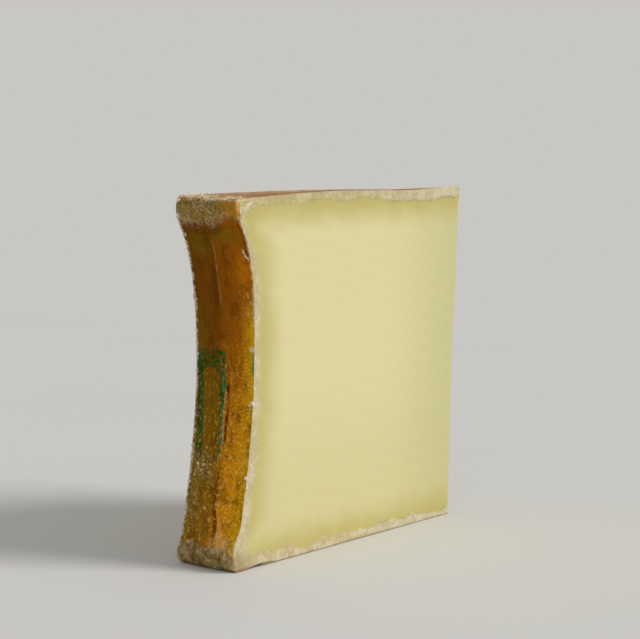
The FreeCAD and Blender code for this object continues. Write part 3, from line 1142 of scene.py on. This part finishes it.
def paste_material(settings):
    """Pressed cooked paste, cut by a knife: even, slightly waxy, and light enters it a little."""
    material, tree, shader, where = new_material("Knife-cut beaufort paste")
    height = add(tree, "ShaderNodeSeparateXYZ", {0: where}).outputs["Z"]
    field = {"height": height}
    for name in PASTE_MASKS:
        field[name] = add(tree, "ShaderNodeAttribute", attribute_name=name).outputs["Fac"]
    # Drift bends the olive border a few millimetres; the rest are the crust's own grain.
    for name, size, detail in (
        ("drift", 16.0, 2.0),
        ("clump", 6.0, 3.0),
        ("crumb", 1.3, 4.0),
        ("grit", 0.7, 5.0),
    ):
        field[name] = add(
            tree, "ShaderNodeTexNoise", {"Vector": where, "Scale": per(size), "Detail": detail}
        ).outputs["Fac"]
    bend = add(
        tree, "ShaderNodeMath", {0: field["drift"], 1: 9.0, 2: -4.5}, operation="MULTIPLY_ADD"
    ).outputs[0]
    for name in ("from_heel", "from_top", "from_base"):
        field["bent_" + name] = add(
            tree, "ShaderNodeMath", {0: field[name], 1: bend}, operation="ADD"
        ).outputs[0]
    reach = settings.under_rind / MM
    for name, source, start, end, most in (
        ("low", "height", 0.075, 0.02, 1.0),
        ("dried", "from_toe", 55.0, -8.0, 0.85),
        ("heel", "bent_from_heel", reach * 1.5, 2.0, 0.85),
        ("top", "bent_from_top", reach * 1.25, 2.0, 0.95),
        ("base", "bent_from_base", reach * 1.25, 2.0, 0.9),
        ("crumbs", "crumb", 0.5, 0.68, 0.6),
        ("pits", "crumb", 0.44, 0.3, 0.55),
        ("clumps", "clump", 0.46, 0.6, 0.75),
        ("toe_edge", "from_toe", 1.4, 0.3, 0.5),
        ("rosy", "from_base", 6.5, 3.5, 0.75),
        ("rosy_top", "from_top", 2.6, 1.0, 0.6),
        ("toe_crust", "from_toe", 90.0, 15.0, 0.8),
        ("heel_corner", "bent_from_heel", 15.0, 5.0, 1.0),
        ("base_corner", "bent_from_base", 12.0, 5.0, 0.85),
        ("sole", "from_base", 0.8, 0.2, 0.6),
    ):
        field[name] = add(
            tree,
            "ShaderNodeMapRange",
            {"Value": field[source], "From Min": start, "From Max": end, "To Max": most},
            interpolation_type="SMOOTHSTEP",
        ).outputs[0]
    # The low front corner, by the heel and the base at once, is darker and pinker crust.
    field["corner"] = add(
        tree,
        "ShaderNodeMath",
        {0: field["heel_corner"], 1: field["base_corner"]},
        operation="MULTIPLY",
    ).outputs[0]
    field["under"] = field["heel"]
    for name in ("top", "base"):
        field["under"] = add(
            tree, "ShaderNodeMath", {0: field["under"], 1: field[name]}, operation="MAXIMUM"
        ).outputs[0]

    # Each layer is a mask and the setting that gives its colour.
    crust = tuple(settings.crust)
    for mask, tint in (
        ("rosy", settings.crust_rosy),
        ("rosy_top", settings.crust_rosy),
        ("toe_crust", settings.crust_toe),
        ("clumps", settings.crust_pale),
        ("crumbs", settings.crust_pale),
        ("pits", settings.fringe),
    ):
        values = {0: field[mask], 6: crust, 7: tuple(tint)}
        crust = add(tree, "ShaderNodeMix", values, data_type="RGBA").outputs[2]
    body = tuple(settings.heart)
    for mask, tint in (
        ("low", settings.heart_low),
        ("dried", settings.dried),
        ("under", settings.rind_side),
        ("toe_edge", settings.crust_pale),
        ("crust", crust),
        ("fringe", settings.fringe),
        ("corner", settings.corner),
        # Painted highlight along the chip's edge.
        ("chip_edge", settings.crust_pale),
        ("skin", settings.skin),
        ("sole", settings.sole),
    ):
        values = {0: field[mask], 6: body, 7: tint if mask == "crust" else tuple(tint)}
        body = add(tree, "ShaderNodeMix", values, data_type="RGBA").outputs[2]
    tree.links.new(body, shader.inputs["Base Color"])

    dry = add(
        tree, "ShaderNodeMath", {0: field["crust"], 1: 0.4, 2: 0.46}, operation="MULTIPLY_ADD"
    )
    tree.links.new(dry.outputs[0], shader.inputs["Roughness"])
    shader.inputs["IOR"].default_value = 1.46
    shader.inputs["Specular IOR Level"].default_value = 0.35
    shader.inputs["Subsurface Weight"].default_value = 0.12
    shader.inputs["Subsurface Radius"].default_value = (1.0, 0.8, 0.45)
    shader.inputs["Subsurface Scale"].default_value = 2.0 * MM
    rough = add(
        tree, "ShaderNodeMath", {0: field["crust"], 1: 0.9, 2: 0.1}, operation="MULTIPLY_ADD"
    )
    grit = add(
        tree, "ShaderNodeMath", {0: field["grit"], 1: rough.outputs[0]}, operation="MULTIPLY"
    )
    bump = add(
        tree,
        "ShaderNodeBump",
        {"Height": grit.outputs[0], "Strength": 0.45, "Distance": 0.25 * MM},
    )
    tree.links.new(bump.outputs[0], shader.inputs["Normal"])
    return material


RIND_MASKS = (
    "low",
    "near",
    "near_low",
    "edge",
    "glow",
    "olive",
    "umber",
    "gold",
    "flecks",
    "lip",
    "lip_amber",
    "scratch",
    "foot",
    "flat",
    "cloth",
    "crack",
    "scar",
    "ridge",
    "ink",
    "thick_ink",
    "dusting",
)


def rind_material(settings):
    """Washed, rubbed rind: dry amber smear, grey crust on lip and foot, ink and bloom."""
    material, tree, shader, where = new_material("Rubbed cloth-marked cheese rind")
    field = {}
    for name in RIND_MASKS:
        field[name] = add(tree, "ShaderNodeAttribute", attribute_name=name).outputs["Fac"]
    # Smear is drawn out upright, as the rind is rubbed; the rest are the grain of dry rind.
    drawn = add(tree, "ShaderNodeMapping", {"Vector": where, "Scale": (1.0, 1.0, 0.3)})
    for name, space, size, detail in (
        ("smear", drawn.outputs[0], 2.2, 3.0),
        ("blotch", where, 6.0, 3.0),
        ("speck", where, 0.9, 3.0),
        ("glint", where, 1.2, 3.0),
        ("fleck", where, 1.9, 3.0),
        ("crumb", where, 1.1, 4.0),
        ("smudge", where, 3.2, 5.0),
        ("powder", where, 0.6, 4.0),
    ):
        field[name] = add(
            tree, "ShaderNodeTexNoise", {"Vector": space, "Scale": per(size), "Detail": detail}
        ).outputs["Fac"]
    for name, source, start, end, most in (
        ("smear_dark", "smear", 0.5, 0.3, 0.4),
        ("blotch_dark", "blotch", 0.5, 0.3, 0.45),
        ("speck_dark", "speck", 0.52, 0.34, 0.6),
        ("glint_gold", "glint", 0.54, 0.68, 0.75),
        ("fleck_pale", "fleck", 0.58, 0.72, 0.6),
        ("crumb_dark", "crumb", 0.52, 0.34, 0.55),
        ("powdery", "powder", 0.34, 0.52, 1.0),
        ("soften", "speck", 0.25, 0.5, 1.0),
        ("rosy", "blotch", 0.42, 0.58, 0.5),
        ("smudge_dark", "smudge", 0.5, 0.32, 0.6),
        ("smudge_pale", "smudge", 0.5, 0.68, 0.6),
    ):
        field[name] = add(
            tree,
            "ShaderNodeMapRange",
            {"Value": field[source], "From Min": start, "From Max": end, "To Max": most},
            interpolation_type="SMOOTHSTEP",
        ).outputs[0]
    for name, first, second in (
        ("flecks_dark", "flecks", "speck_dark"),
        ("flecks_gold", "gold", "glint_gold"),
        ("flecks_pale", "flecks", "fleck_pale"),
        ("scratched", "scratch", "powdery"),
        ("dust", "dusting", "powdery"),
        ("weave", "cloth", "soften"),
    ):
        field[name] = add(
            tree, "ShaderNodeMath", {0: field[first], 1: field[second]}, operation="MULTIPLY"
        ).outputs[0]

    # Four of the finishes are mottled: each starts from one setting, and takes on others.
    mottled = {}
    for name, start, mask, tint in (
        ("dust", settings.dusting, "rosy", settings.fleck),
        ("ink", settings.ink, "thick_ink", settings.ink_bright),
        ("lip", settings.lip, "crumb_dark", settings.crust_dark),
        ("lip", None, "lip_amber", settings.amber),
        ("foot", settings.foot, "smudge_dark", settings.crust_dark),
        ("foot", None, "smudge_pale", settings.ash),
        ("foot", None, "fleck_pale", settings.fleck),
        ("foot", None, "crumb_dark", settings.crust_dark),
    ):
        start = tuple(start) if start else mottled[name]
        values = {0: field[mask], 6: start, 7: tuple(tint)}
        mottled[name] = add(tree, "ShaderNodeMix", values, data_type="RGBA").outputs[2]
    body = tuple(settings.upper_far)
    for mask, tint in (
        ("low", settings.lower_far),
        ("near", settings.upper_near),
        ("near_low", settings.lower_near),
        ("edge", settings.edge),
        ("olive", settings.olive),
        # Painted glow at the thin front edge.
        ("glow", settings.glow),
        # Umber: dark rubbed rind, and partly painted shade.
        ("umber", settings.umber),
        ("ink", mottled["ink"]),
        ("smear_dark", settings.smear),
        ("blotch_dark", settings.smear),
        ("flecks_dark", settings.upper_far),
        ("flecks_gold", settings.gold),
        ("flecks_pale", settings.fleck),
        ("flat", settings.flat),
        ("lip", mottled["lip"]),
        ("foot", mottled["foot"]),
        ("scratched", settings.dusting),
        ("weave", settings.umber),
        # Painted shade in the torn place under the lip.
        ("scar", settings.crack),
        # Painted highlight on the fold's crest and shoulders.
        ("ridge", settings.fleck),
        # Painted shade in the crack and the groove.
        ("crack", settings.crack),
        ("dust", mottled["dust"]),
    ):
        values = {0: field[mask], 6: body, 7: tint if mask in mottled else tuple(tint)}
        body = add(tree, "ShaderNodeMix", values, data_type="RGBA").outputs[2]
    tree.links.new(body, shader.inputs["Base Color"])

    dry = add(
        tree, "ShaderNodeMath", {0: field["dust"], 1: 0.25, 2: 0.6}, operation="MULTIPLY_ADD"
    )
    tree.links.new(dry.outputs[0], shader.inputs["Roughness"])
    shader.inputs["IOR"].default_value = 1.47
    shader.inputs["Specular IOR Level"].default_value = 0.02
    shader.inputs["Subsurface Weight"].default_value = 0.05
    shader.inputs["Subsurface Radius"].default_value = (1.0, 0.5, 0.2)
    shader.inputs["Subsurface Scale"].default_value = 1.0 * MM
    bump = add(
        tree,
        "ShaderNodeBump",
        {"Height": field["speck"], "Strength": 0.5, "Distance": 0.25 * MM},
    )
    tree.links.new(bump.outputs[0], shader.inputs["Normal"])
    return material


def flake_material(settings):
    """Dry torn rind: pale and fibrous where it tore, with some amber left on it."""
    material, tree, shader, where = new_material("Dry torn rind")
    patch = add(
        tree, "ShaderNodeTexNoise", {"Vector": where, "Scale": per(1.2), "Detail": 4.0}
    ).outputs["Fac"]
    left = add(
        tree,
        "ShaderNodeMapRange",
        {"Value": patch, "From Min": 0.44, "From Max": 0.58, "To Max": 0.8},
    ).outputs[0]
    body = add(
        tree,
        "ShaderNodeMix",
        {0: left, 6: tuple(settings.pale), 7: tuple(settings.brown)},
        data_type="RGBA",
    )
    tree.links.new(body.outputs[2], shader.inputs["Base Color"])
    shader.inputs["Roughness"].default_value = 0.75
    shader.inputs["IOR"].default_value = 1.47
    bump = add(
        tree, "ShaderNodeBump", {"Height": patch, "Strength": 0.5, "Distance": 0.2 * MM}
    )
    tree.links.new(bump.outputs[0], shader.inputs["Normal"])
    return material


def grain_material(name, first, second, third):
    """Dry crystals and crumbs, each grain a slightly different pale tint."""
    material, tree, shader, where = new_material(name)
    cell = add(tree, "ShaderNodeTexVoronoi", {"Vector": where, "Scale": per(1.5)})
    pick = add(tree, "ShaderNodeSeparateColor", {0: cell.outputs["Color"]}).outputs[0]
    body = add(
        tree, "ShaderNodeMix", {0: pick, 6: first, 7: second}, data_type="RGBA"
    ).outputs[2]
    golden = add(
        tree, "ShaderNodeMapRange", {"Value": pick, "From Min": 0.75, "From Max": 0.95}
    ).outputs[0]
    body = add(
        tree, "ShaderNodeMix", {0: golden, 6: body, 7: third}, data_type="RGBA"
    ).outputs[2]
    tree.links.new(body, shader.inputs["Base Color"])
    shader.inputs["Roughness"].default_value = 0.8
    shader.inputs["IOR"].default_value = 1.5
    return material


def floor_material(settings):
    """Plain matt card with the least mottling, which fades into the backdrop far out."""
    material, tree, shader, where = new_material("Plain matt card")
    soft = add(tree, "ShaderNodeTexNoise", {"Vector": where, "Scale": per(220.0)}).outputs["Fac"]
    base = tuple(settings.floor)
    darker = tuple(0.97 * c for c in base[:3]) + (1.0,)
    tone = add(tree, "ShaderNodeMix", {0: soft, 6: darker, 7: base}, data_type="RGBA")
    tree.links.new(tone.outputs[2], shader.inputs["Base Color"])
    out = add(tree, "ShaderNodeVectorMath", {0: where}, operation="LENGTH").outputs["Value"]
    fade = add(
        tree,
        "ShaderNodeMapRange",
        {
            "Value": out,
            "From Min": settings.sweep_near,
            "From Max": settings.sweep_far,
            "To Min": 1.0,
            "To Max": 0.0,
        },
        interpolation_type="SMOOTHERSTEP",
    )
    tree.links.new(fade.outputs[0], shader.inputs["Alpha"])
    shader.inputs["Roughness"].default_value = 0.9
    shader.inputs["Specular IOR Level"].default_value = 0.2
    return material


# ------------------------------------------------------------------ scattered grains

# Where bloom has clotted on the heel's far and near edges: how far inside the edge, how high,
# and how wide, in millimetres.
FAR_TUFTS = (
    (0.0, 132.0, 1.4),
    (0.6, 126.0, 1.3),
    (0.0, 103.5, 1.0),
    (0.0, 95.0, 0.8),
    (0.0, 64.0, 0.9),
    (0.0, 53.0, 1.0),
    (0.0, 41.0, 1.3),
    (0.0, 26.0, 0.8),
)
NEAR_TUFTS = ((1.2, 83.2, 0.9), (0.7, 62.5, 1.6), (0.9, 35.0, 0.8))


def lump(name, seed):
    """One irregular grain about a unit across, with twenty faces."""
    work = bmesh.new()
    bmesh.ops.create_icosphere(work, subdivisions=1, radius=0.5)
    rng = np.random.default_rng(seed)
    stretch = rng.uniform(0.7, 1.3, 3)
    for vertex in work.verts:
        vertex.co = Vector(np.array(vertex.co) * stretch * rng.uniform(0.7, 1.25))
    mesh = bpy.data.meshes.new(name)
    work.to_mesh(mesh)
    work.free()
    return bpy.data.objects.new(name, mesh)


def scatter_tree(name):
    """Geometry nodes that scatter grains over a skin, as thickly as its named mask says."""
    tree = bpy.data.node_groups.new(name, "GeometryNodeTree")
    for label, kind in (
        ("Geometry", "NodeSocketGeometry"),
        ("Grains", "NodeSocketCollection"),
        ("Mask", "NodeSocketString"),
        ("Density", "NodeSocketFloat"),
        ("Size", "NodeSocketFloat"),
        ("Seed", "NodeSocketInt"),
        ("Material", "NodeSocketMaterial"),
    ):
        tree.interface.new_socket(label, in_out="INPUT", socket_type=kind)
    tree.interface.new_socket("Geometry", in_out="OUTPUT", socket_type="NodeSocketGeometry")
    given = add(tree, "NodeGroupInput").outputs
    mask = add(
        tree, "GeometryNodeInputNamedAttribute", {"Name": given["Mask"]}, data_type="FLOAT"
    ).outputs["Attribute"]
    thick = add(tree, "ShaderNodeMath", {0: mask, 1: given["Density"]}, operation="MULTIPLY")
    spots = add(
        tree,
        "GeometryNodeDistributePointsOnFaces",
        {"Mesh": given["Geometry"], "Density": thick.outputs[0], "Seed": given["Seed"]},
    )
    turn = add(
        tree,
        "FunctionNodeRandomValue",
        {0: (0.0, 0.0, 0.0), 1: (6.283, 6.283, 6.283), "Seed": given["Seed"]},
        data_type="FLOAT_VECTOR",
    )
    chance = add(
        tree,
        "FunctionNodeRandomValue",
        {2: 0.0, 3: 1.0, "Seed": given["Seed"]},
        data_type="FLOAT",
    )
    # Most grains are small, and a few are three times as large.
    rare = add(tree, "ShaderNodeMath", {0: chance.outputs[1], 1: 5.0}, operation="POWER")
    size = add(
        tree, "ShaderNodeMath", {0: rare.outputs[0], 1: 2.0, 2: 0.6}, operation="MULTIPLY_ADD"
    )
    scale = add(
        tree, "ShaderNodeMath", {0: size.outputs[0], 1: given["Size"]}, operation="MULTIPLY"
    )
    kinds = add(
        tree,
        "GeometryNodeCollectionInfo",
        {"Collection": given["Grains"], "Separate Children": True, "Reset Children": True},
    )
    placed = add(
        tree,
        "GeometryNodeInstanceOnPoints",
        {
            "Points": spots.outputs["Points"],
            "Instance": kinds.outputs[0],
            "Pick Instance": True,
            "Rotation": turn.outputs[0],
            "Scale": scale.outputs[0],
        },
    )
    real = add(tree, "GeometryNodeRealizeInstances", {"Geometry": placed.outputs[0]})
    done = add(
        tree,
        "GeometryNodeSetMaterial",
        {"Geometry": real.outputs[0], "Material": given["Material"]},
    )
    add(tree, "NodeGroupOutput", {"Geometry": done.outputs[0]})
    return tree


def scatter(name, host, mask, density, size, seed, material):
    """A new piece of loose grains over host's skin, where the host's mask is above 0."""
    shelf = bpy.data.collections.new(name + "_kinds")
    for k in range(4):
        shelf.objects.link(lump(f"{name}_kind_{k}", seed * 10 + k))
    made = bpy.data.objects.new(name, host.data.copy())
    bpy.context.scene.collection.objects.link(made)
    tree = scatter_tree(name)
    modifier = made.modifiers.new("Scatter", "NODES")
    modifier.node_group = tree
    given = {
        "Grains": shelf,
        "Mask": mask,
        "Density": float(density),
        "Size": size,
        "Seed": seed,
        "Material": material,
    }
    for item in tree.interface.items_tree:
        if item.in_out == "INPUT" and item.name in given:
            modifier[item.identifier] = given[item.name]
    flatten(made)
    if not made.data.polygons:
        raise RuntimeError(f"{name} came out empty")
    keep_inside(made)
    made.data.materials.clear()
    made.data.materials.append(material)
    for grain in list(shelf.objects):
        bpy.data.objects.remove(grain)
    bpy.data.collections.remove(shelf)
    bpy.data.node_groups.remove(tree)
    return made


# ------------------------------------------------------------------ operators

# The way to the key light, and the point in metres that the camera looks at.
KEY_WAY = (0.42, -0.78, 0.62)
AIM = (-0.0631, -0.0455, 0.0966)

felt = {}


def outline():
    """The slice's outline, felt once and kept."""
    if "outline" not in felt:
        felt["outline"] = Outline(1.0)
    return felt["outline"]


class CHEESE_OT_paste(bpy.types.Operator):
    """Builds the knife-cut paste with its crust edges"""

    bl_idname = "cheese.paste"
    bl_label = "Paste"

    def execute(self, context):
        settings = context.scene.cheese_paste
        paste = build_paste(settings, outline())
        paste.data.materials.append(paste_material(settings))
        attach(paste, BODY)
        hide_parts(NODE)
        return {"FINISHED"}


class CHEESE_OT_rind(bpy.types.Operator):
    """Builds the rind round the base, the heel and the top"""

    bl_idname = "cheese.rind"
    bl_label = "Rind"

    def execute(self, context):
        settings = context.scene.cheese_rind
        rind = build_rind(settings, outline())
        rind.data.materials.append(rind_material(settings))
        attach(rind, BODY)
        return {"FINISHED"}


class CHEESE_OT_bloom(bpy.types.Operator):
    """Scatters bloom grains over the rind and crumbs over the crust"""

    bl_idname = "cheese.bloom"
    bl_label = "Bloom and crumbs"

    def execute(self, context):
        held = context.scene.cheese_bloom
        rind = bpy.data.objects["cheese_rind"]
        paste = bpy.data.objects["cheese_paste"]
        white = held.pale, held.rosy, held.golden
        straw = held.crumb_pale, held.crumb_straw, held.crumb_grey
        tufty = held.pale, held.rosy, held.pale
        thick = self.bloom_places(rind), self.crumb_places(paste), self.tuft_places(rind)
        for k, (name, host, density, size, finish, tints) in enumerate(
            (
                ("cheese_bloom", rind, held.grains, held.grain, "Dry rind bloom", white),
                ("cheese_crumbs", paste, held.crumbs, held.crumb, "Dry crust crumbs", straw),
                ("cheese_tufts", rind, held.tufts, held.tuft, "Dry tufts of bloom", tufty),
            )
        ):
            set_mask(host, "loose_grains", thick[k])
            material = grain_material(finish, *(tuple(tint) for tint in tints))
            piece = scatter(name, host, "loose_grains", density, size, held.seed + k, material)
            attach(piece, BODY)
        return {"FINISHED"}

    def bloom_places(self, rind):
        """How thickly grains lie on the rind: where it is dusted, clear of the table."""
        thick = get_mask(rind, "dusting") ** 3
        thick[mesh_points(rind)[:, 2] < 1.5] = 0.0
        return thick

    def crumb_places(self, paste):
        """How thickly crumbs lie on the crust: in patches near the rind, most near the heel."""
        x, _, z = mesh_points(paste).T
        near = np.minimum(get_mask(paste, "from_heel"), get_mask(paste, "from_base"))
        thick = get_mask(paste, "crust") * ease(5.0, 0.5, near) * (z > 1.0)
        patchy = ease(-0.4, 0.5, crumble(x, z, 5.0, 92))
        along = ease(LEFT + 50.0, LEFT + 30.0, x)
        return thick * (mix(0.6, 1.0, patchy) * mix(0.25, 1.0, along))

    def tuft_places(self, rind):
        """How thickly tufts lie along the heel's far edge, and where bloom has clotted."""
        x, y, z = mesh_points(rind).T
        across = y - FRONT
        far = across.max()
        run = x + z
        found = ease(0.1, 0.6, noise(run, run * 0, 1.8, 93)) * ease(far - 1.0, far - 0.4, across)
        found *= 0.45 * (z > 8.0)
        for inset, height, size in FAR_TUFTS:
            found = np.maximum(found, spot(across, z, (far - inset, height), (size, size)))
        for inset, height, size in NEAR_TUFTS:
            found = np.maximum(found, spot(across, z, (inset, height), (size, size)))
        return found * (x < LEFT + 25.0)


class CHEESE_OT_flake(bpy.types.Operator):
    """Builds the torn tongue of rind on the heel's front edge"""

    bl_idname = "cheese.flake"
    bl_label = "Torn flake"

    def execute(self, context):
        settings = context.scene.cheese_flake
        flake = build_flake(settings, outline())
        flake.data.materials.append(flake_material(settings))
        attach(flake, BODY)
        return {"FINISHED"}


class CHEESE_OT_stage(bpy.types.Operator):
    """Sets the plain floor, the soft light and the camera"""

    bl_idname = "cheese.stage"
    bl_label = "Stage"

    def execute(self, context):
        settings = context.scene.cheese_stage
        scene = context.scene
        self.add_floor(settings)
        self.add_light(scene, settings)
        self.add_camera(scene, settings)
        scene.view_settings.view_transform = "Standard"
        return {"FINISHED"}

    def add_floor(self, settings):
        """A wide floor that goes on to the horizon."""
        line = np.linspace(-6000.0, 6000.0, 13)
        x, y = np.meshgrid(line, line, indexing="ij")
        points = np.stack([x, y, x * 0.0], -1).reshape(-1, 3)
        index = np.arange(len(points)).reshape(x.shape)
        floor = object_from("floor", points, quads(index))
        floor.data.materials.append(floor_material(settings))

    def add_light(self, scene, settings):
        """A wide soft light from the right of the front cut, and even light all round."""
        lamp = bpy.data.lights.new("key", "SUN")
        lamp.angle = settings.softness
        lamp.energy = settings.key
        key = bpy.data.objects.new("key", lamp)
        key.rotation_euler = (-Vector(KEY_WAY)).to_track_quat("-Z", "Y").to_euler()
        scene.collection.objects.link(key)
        world = bpy.data.worlds.new("soft light")
        world.use_nodes = True
        tree = world.node_tree
        # What the camera sees past the floor is the floor's own pale tone, with no horizon line.
        seen = add(tree, "ShaderNodeLightPath").outputs["Is Camera Ray"]
        soft = add(
            tree,
            "ShaderNodeBackground",
            {"Color": tuple(settings.sky), "Strength": settings.fill},
        )
        wall = add(tree, "ShaderNodeBackground", {"Color": tuple(settings.backdrop)})
        both = add(
            tree, "ShaderNodeMixShader", {0: seen, 1: soft.outputs[0], 2: wall.outputs[0]}
        )
        tree.links.new(both.outputs[0], tree.nodes["World Output"].inputs["Surface"])
        scene.world = world

    def add_camera(self, scene, settings):
        """The camera, level with the slice and off its front heel corner."""
        a, e = settings.azimuth, settings.elevation
        back = Vector((math.sin(a) * math.cos(e), -math.cos(a) * math.cos(e), math.sin(e)))
        data = bpy.data.cameras.new("camera")
        data.lens = settings.lens
        data.sensor_width = 36.0
        data.clip_start, data.clip_end = 0.05, 60.0
        camera = bpy.data.objects.new("camera", data)
        camera.location = Vector(AIM) + back * settings.distance
        camera.rotation_euler = (-back).to_track_quat("-Z", "Y").to_euler()
        scene.collection.objects.link(camera)
        scene.camera = camera


class CHEESE_PT_panel(bpy.types.Panel):
    """Lists the slice's pieces in the sidebar"""

    bl_idname = "CHEESE_PT_panel"
    bl_label = "Beaufort slice"
    bl_space_type = "VIEW_3D"
    bl_region_type = "UI"
    bl_category = "Cheese"

    def draw(self, context):
        for operator in OPERATORS:
            self.layout.operator(operator.bl_idname)
        for group in SETTINGS:
            box = self.layout.box()
            held = getattr(context.scene, group)
            for name in held.bl_rna.properties.keys():
                if name not in {"rna_type", "name"}:
                    box.prop(held, name)


SETTINGS = {
    "cheese_paste": CheesePasteSettings,
    "cheese_rind": CheeseRindSettings,
    "cheese_bloom": CheeseBloomSettings,
    "cheese_flake": CheeseFlakeSettings,
    "cheese_stage": CheeseStageSettings,
}
OPERATORS = (
    CHEESE_OT_paste,
    CHEESE_OT_rind,
    CHEESE_OT_bloom,
    CHEESE_OT_flake,
    CHEESE_OT_stage,
)
CLASSES = (*SETTINGS.values(), *OPERATORS, CHEESE_PT_panel)


def register():
    for made in CLASSES:
        bpy.utils.register_class(made)
    for name, group in SETTINGS.items():
        setattr(bpy.types.Scene, name, PointerProperty(type=group))


def unregister():
    for name in SETTINGS:
        delattr(bpy.types.Scene, name)
    for made in reversed(CLASSES):
        bpy.utils.unregister_class(made)


def main():
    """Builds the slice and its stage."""
    register()
    bpy.ops.cheese.stage()
    bpy.ops.cheese.paste()
    bpy.ops.cheese.rind()
    bpy.ops.cheese.bloom()
    bpy.ops.cheese.flake()


if __name__ == "__main__":
    main()
